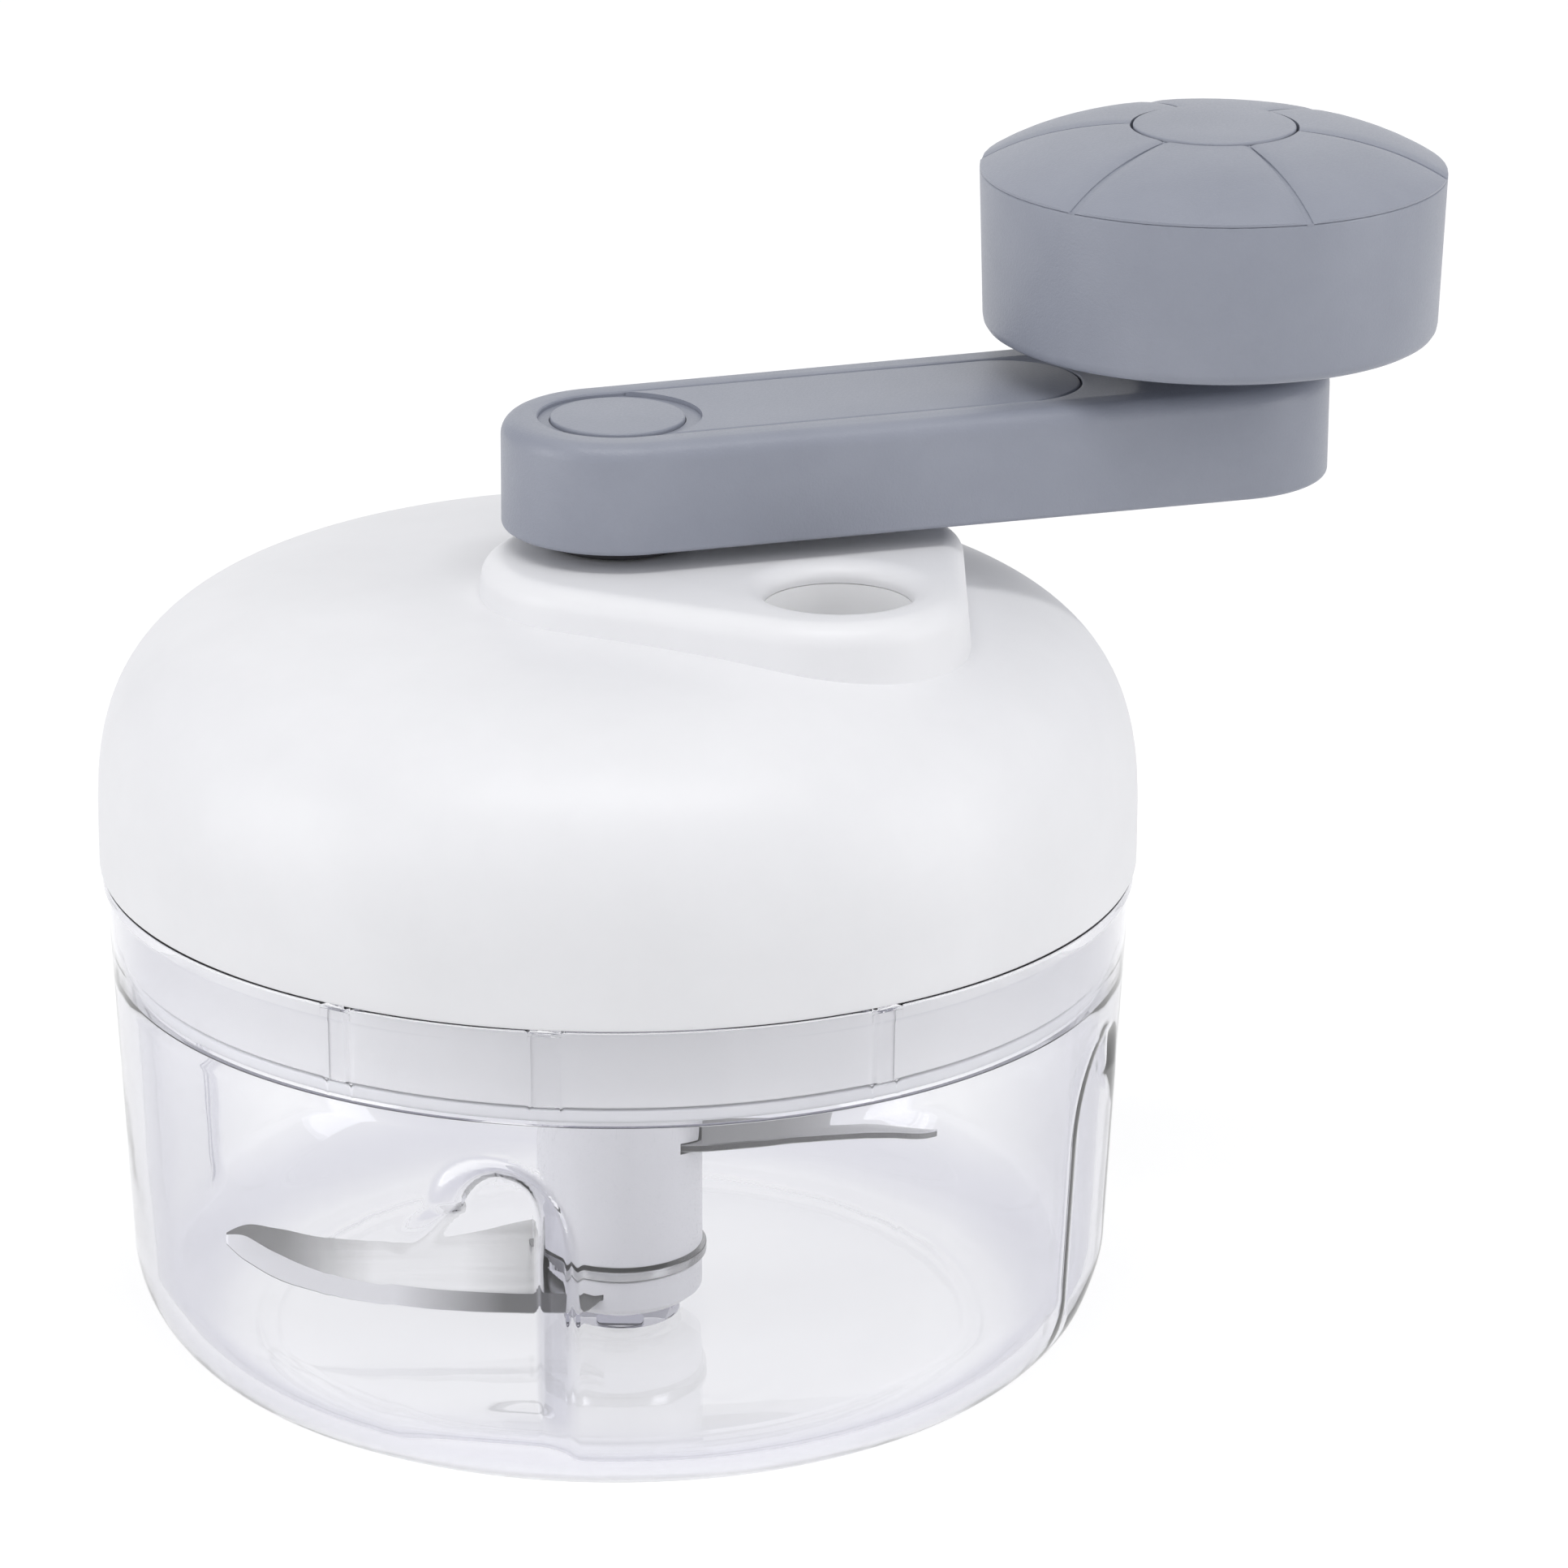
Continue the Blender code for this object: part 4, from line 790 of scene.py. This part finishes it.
def petal_height(radius, side):
    """The knob top's height at a distance in mm from the middle of a groove."""
    rise = KNOB_TOP_Z - KNOB_RIM_Z - 0.5
    height = KNOB_RIM_Z + 0.3 + rise * (1.0 - (radius / KNOB_R) ** 3.3)
    past = side - groove_half(radius) - 0.03
    if past < 0.0:
        return height - GROOVE_DEPTH * smooth((radius - DISC_R) / 1.2)
    roll = min(PETAL_ROLL, 0.12 * radius)
    return height - 0.16 * roll * max(0.0, 1.0 - past / roll) ** 2


def petal_ring(radius, height=None):
    """One round of points. Columns beside a groove keep their distance from it in mm."""
    sides = [0.0] + [groove_half(radius) + step for step in (0.0, 0.04, 0.22, 0.45, 0.75, 1.1, 1.5)]
    half = math.pi / PETALS * radius
    sides += [sides[-1] + (half - sides[-1]) * part / 5 for part in range(1, 6)]
    sides += [2 * half - side for side in reversed(sides[1:-1])]
    ring = []
    for petal in range(PETALS):
        for side in sides:
            x, y = polar(radius, PETAL_PHASE + 360.0 / PETALS * petal + math.degrees(side / radius))
            z = petal_height(radius, min(side, 2 * half - side)) if height is None else height
            ring.append((KNOB[0] + x, KNOB[1] + y, z))
    return ring


def make_knob():
    foot, seat = KNOB_FOOT_Z, KNOB_RIM_Z - 0.03
    body = [(25.2, seat), (KNOB_R, seat, 0.3), (KNOB_FOOT_R, foot, 1.6), (3.9, foot, 0.3)]
    body += [(3.9, 129.6), (7.0, 129.6), (7.4, foot + 2.4), (24.4, foot + 2.4)]
    dress(turned("knob_drum", body, 160, KNOB, ring=True), "knob", "grey_plastic", GREY, "knob_body")

    radii = [10.15, 10.3, 10.7, 11.3] + [12.0 + 0.6 * i for i in range(25)]
    radii += [26.8, 27.2, 27.5, 27.7, 27.85, 27.97, 28.04]
    rows = [petal_ring(10.1, KNOB_TOP_Z - 1.8)] + [petal_ring(radius) for radius in radii]
    under = [(KNOB_R, KNOB_RIM_Z), (24.9, KNOB_RIM_Z), (24.9, 137.6), (23.0, 137.6), (20.0, 140.4)]
    rows += [petal_ring(radius, height) for radius, height in under]
    dress(skin("knob_petals", rows), "knob", "grey_plastic", GREY, "knob_top", angle=50.0)

    disc = [(0.0, KNOB_TOP_Z), (5.5, KNOB_TOP_Z - 0.03), (DISC_R, KNOB_TOP_Z - 0.2, 0.35)]
    disc += [(DISC_R, KNOB_TOP_Z - 1.5), (0.0, KNOB_TOP_Z - 1.5)]
    dress(turned("knob_button", disc, 96, KNOB), "knob", "grey_plastic", GREY, "knob_disc")


# Blades

def between(rows, count):
    """A smooth curve through rows of numbers, with count steps between two rows."""
    out = []
    for i in range(len(rows) - 1):
        a, b = rows[max(i - 1, 0)], rows[i]
        c, d = rows[i + 1], rows[min(i + 2, len(rows) - 1)]
        for step in range(count):
            t = step / count
            out.append(tuple(0.5 * (2 * q + (r - p) * t + (2 * p - 5 * q + 4 * r - s) * t ** 2
                                    + (3 * q - p - 3 * r + s) * t ** 3)
                             for p, q, r, s in zip(a, b, c, d)))
    out.append(rows[-1])
    return out


def blade_rows(outline, place, margin=0.0, count=1):
    """Sections of a blade along its length. With a margin they're plainer, for the room round it."""
    pitch, height, heading = place
    rows = []
    half = BLADE_HALF + margin
    for out, back, bevel, front, share in between(outline, count):
        low, high = back - margin, front + margin
        edge = -half + BLADE_EDGE + 2 * margin
        if margin:
            section = [(low, half), (bevel, half), (high, edge), (high, -half), (low, -half)]
        else:
            section = [(low + 0.2, half), (bevel - 0.25, half), (bevel, half - 0.02), (high, edge),
                       (high - 0.05, -half), (low + 0.2, -half),
                       (low, BLADE_EDGE - half), (low, half - BLADE_EDGE)]
        ring = []
        for side, lift in section:
            x, y = turn_points([(out, side)], heading)[0]
            ring.append((x, y, height - pitch * min(max(share, 0.0), 1.0) * side + lift))
        rows.append(ring)
    return rows


def mark_faces(blade, low, high):
    """Marks the lower blade's bevel or the upper one's back, by how far the faces' normals rise."""
    marks = [1.0 if low < face.normal.z < high else 0.0 for face in blade.data.polygons]
    blade.data.attributes.new("bevel", "FLOAT", "FACE").data.foreach_set("value", marks)


def make_blades():
    hub = turned("hub", [(0.0, 48.0), (HUB_R, 48.0, 0.8), (HUB_R, 11.3, 0.25), (0.0, 11.3)], 96)
    cut(hub, prism("hub_socket", hexagon(4.0), 37.0, 50.0))
    cut(hub, cylinder("hub_recess", (0, 0), 6.1, 8.0, 14.6, 48))
    cut(hub, cylinder("hub_bore", (0, 0), 2.3, 8.0, 16.6, 32))
    foot = [(2.3, 14.2), (5.8, 14.2, 0.3), (5.8, 9.5), (HUB_R, 9.5, 0.25), (HUB_R, 5.7, 0.5),
            (8.9, 4.7, 0.3), (2.3, 4.7)]
    foot = turned("hub_foot", foot, 96, ring=True)
    room = blade_rows(LOWER_BLADE, LOWER_PLACE, GAP)
    cut(foot, skin("cap_room", room))
    cut(hub, skin("hub_room", room))
    cut(hub, skin("hub_slot", blade_rows(UPPER_BLADE, UPPER_PLACE, GAP)))
    dress(hub, "blades", "white_plastic", HUB_WHITE, "blade_hub")
    dress(foot, "blades", "white_plastic", HUB_WHITE, "blade_hub_cap")

    lower = turned("lower_leaf", [(0.0, 11.0), (10.6, 11.0, 0.15), (10.6, 9.8, 0.15), (0.0, 9.8)], 96)
    join(lower, skin("leaf", blade_rows(LOWER_BLADE, LOWER_PLACE, count=6)))
    cut(lower, cylinder("lower_bore", (0, 0), 6.1, 4.0, 18.0, 48))
    mark_faces(lower, 0.45, 0.86)
    dress(lower, "blades", "steel", LOWER_STEEL_PAINTED_LIGHT, "lower_blade", angle=12.0)
    upper = skin("upper_leaf", blade_rows(UPPER_BLADE, UPPER_PLACE, count=6))
    mark_faces(upper, -0.3, 0.3)
    dress(upper, "blades", "steel", UPPER_STEEL_PAINTED_LIGHT, "upper_blade", angle=12.0)


make_bowl()
make_lid()
make_lid_base()
make_arm()
make_knob()
make_blades()

# The inner pieces keep their solids from the CAD, and get the materials of their slots
FINISHES = {"natural_plastic": NATURAL, "steel": TURNED_STEEL, "white_plastic": WHITE, "silicone": SILICONE_PAINTED_HIGHLIGHT,
            "grey_plastic": GREY, "dark_plastic": DARK, "clear_plastic": CLEAR}
for part in frame["record"]["subparts"]:
    node = frame["nodes"][part["node"]]
    for slot in node.material_slots:
        slot.material = FINISHES[part["material_slot"]]


# Floor, light and camera

def make_floor():
    """White and barely shaded to the camera, and plain matt white to the rays that light the object."""
    half, z = 3000, -0.5
    corners = [(-half, -half, z), (half, -half, z), (half, half, z), (-half, half, z)]
    floor = mesh_object("floor", corners, [(0, 1, 2, 3)])
    mat = bpy.data.materials.new("floor")
    mat.use_nodes = True
    nodes, links = mat.node_tree.nodes, mat.node_tree.links
    nodes.clear()
    out = nodes.new("ShaderNodeOutputMaterial")
    glow = nodes.new("ShaderNodeEmission")
    glow.inputs["Strength"].default_value = 0.74
    both = nodes.new("ShaderNodeAddShader")
    links.new(diffuse(nodes, 0.36), both.inputs[0])
    links.new(glow.outputs[0], both.inputs[1])
    shown = ray_mix(nodes, links, diffuse(nodes, 0.8), both.outputs[0],
                    ("Is Camera Ray", "Is Glossy Ray", "Is Transmission Ray"))
    links.new(shown, out.inputs["Surface"])
    floor.data.materials.append(mat)


def make_world():
    """White to the camera. Clear and glossy surfaces see a studio with darker sides and front."""
    world = bpy.data.worlds.new("studio")
    bpy.context.scene.world = world
    world.use_nodes = True
    nodes, links = world.node_tree.nodes, world.node_tree.links
    nodes.clear()
    out = nodes.new("ShaderNodeOutputWorld")
    plain = nodes.new("ShaderNodeBackground")
    plain.inputs["Color"].default_value = (0.97, 0.975, 1.0, 1.0)
    plain.inputs["Strength"].default_value = 0.62
    white = nodes.new("ShaderNodeBackground")
    white.inputs["Strength"].default_value = 1.0
    way = axes(nodes, links, nodes.new("ShaderNodeTexCoord").outputs["Generated"])
    side = math_node(nodes, links, "ABSOLUTE", way["X"])
    flank = span(nodes, links, side, 0.0, 1.0, (0.22, 0.7))
    front = span(nodes, links, way["Y"], 1.0, 0.0, (-0.75, 0.1))
    dark = math_node(nodes, links, "MAXIMUM", flank, front)
    shades = tint(nodes, links, dark, (1.0, 1.0, 1.0), (0.5, 0.5, 0.55))
    studio = nodes.new("ShaderNodeBackground")
    studio.inputs["Strength"].default_value = 1.0
    links.new(shades, studio.inputs["Color"])
    bent = ray_mix(nodes, links, plain.outputs[0], studio.outputs[0],
                   ("Is Glossy Ray", "Is Transmission Ray"))
    shown = ray_mix(nodes, links, bent, white.outputs[0], ("Is Camera Ray",))
    links.new(shown, out.inputs["Surface"])


def make_lamps():
    """Rectangular lamps: name, place, target, width and height, all in metres, and power in watts."""
    for name, place, target, size, watts in (
            ("left", (-1.15, -0.35, 0.36), (0, 0, 0.06), (0.6, 0.9), 4.5),
            ("right", (1.15, -0.35, 0.36), (0, 0, 0.06), (0.6, 0.9), 4.1),
            ("front", (0.1, -1.25, 0.75), (0, 0, 0.08), (0.9, 0.5), 0.15),
            ("strip", (0.0, -0.4, 1.15), (0, 0, 0.1), (1.0, 0.12), 4.2)):
        light = bpy.data.lights.new(name, "AREA")
        light.shape = "RECTANGLE"
        light.size, light.size_y = size
        light.energy = watts
        obj = bpy.data.objects.new(name, light)
        bpy.context.scene.collection.objects.link(obj)
        obj.location = place
        obj.rotation_euler = (Vector(target) - Vector(place)).to_track_quat("-Z", "Y").to_euler()


def make_camera():
    """The photo's camera, as fitted to the ellipses of the lid, the bowl and the knob."""
    yaw, pitch, roll = math.radians(1.42), math.radians(19.1), math.radians(0.3)
    focal_pixels, photo_pixels, sensor = 8697.0, 1932.0, 36.0
    place = Vector((0.0, -800.0, 346.7)) * MM
    forward = Vector((math.sin(yaw) * math.cos(pitch), math.cos(yaw) * math.cos(pitch), -math.sin(pitch)))
    right = forward.cross(Vector((0, 0, 1))).normalized()
    up = right.cross(forward)
    side = right * math.cos(roll) + up * math.sin(roll)
    top = up * math.cos(roll) - right * math.sin(roll)
    data = bpy.data.cameras.new("camera")
    data.sensor_width = sensor
    data.lens = focal_pixels / photo_pixels * sensor
    data.clip_start = 0.01
    camera = bpy.data.objects.new("camera", data)
    bpy.context.scene.collection.objects.link(camera)
    camera.matrix_world = Matrix.Translation(place) @ Matrix((side, top, -forward)).transposed().to_4x4()
    bpy.context.scene.camera = camera


make_floor()
make_world()
make_lamps()
make_camera()
bpy.context.scene.view_settings.view_transform = "Standard"
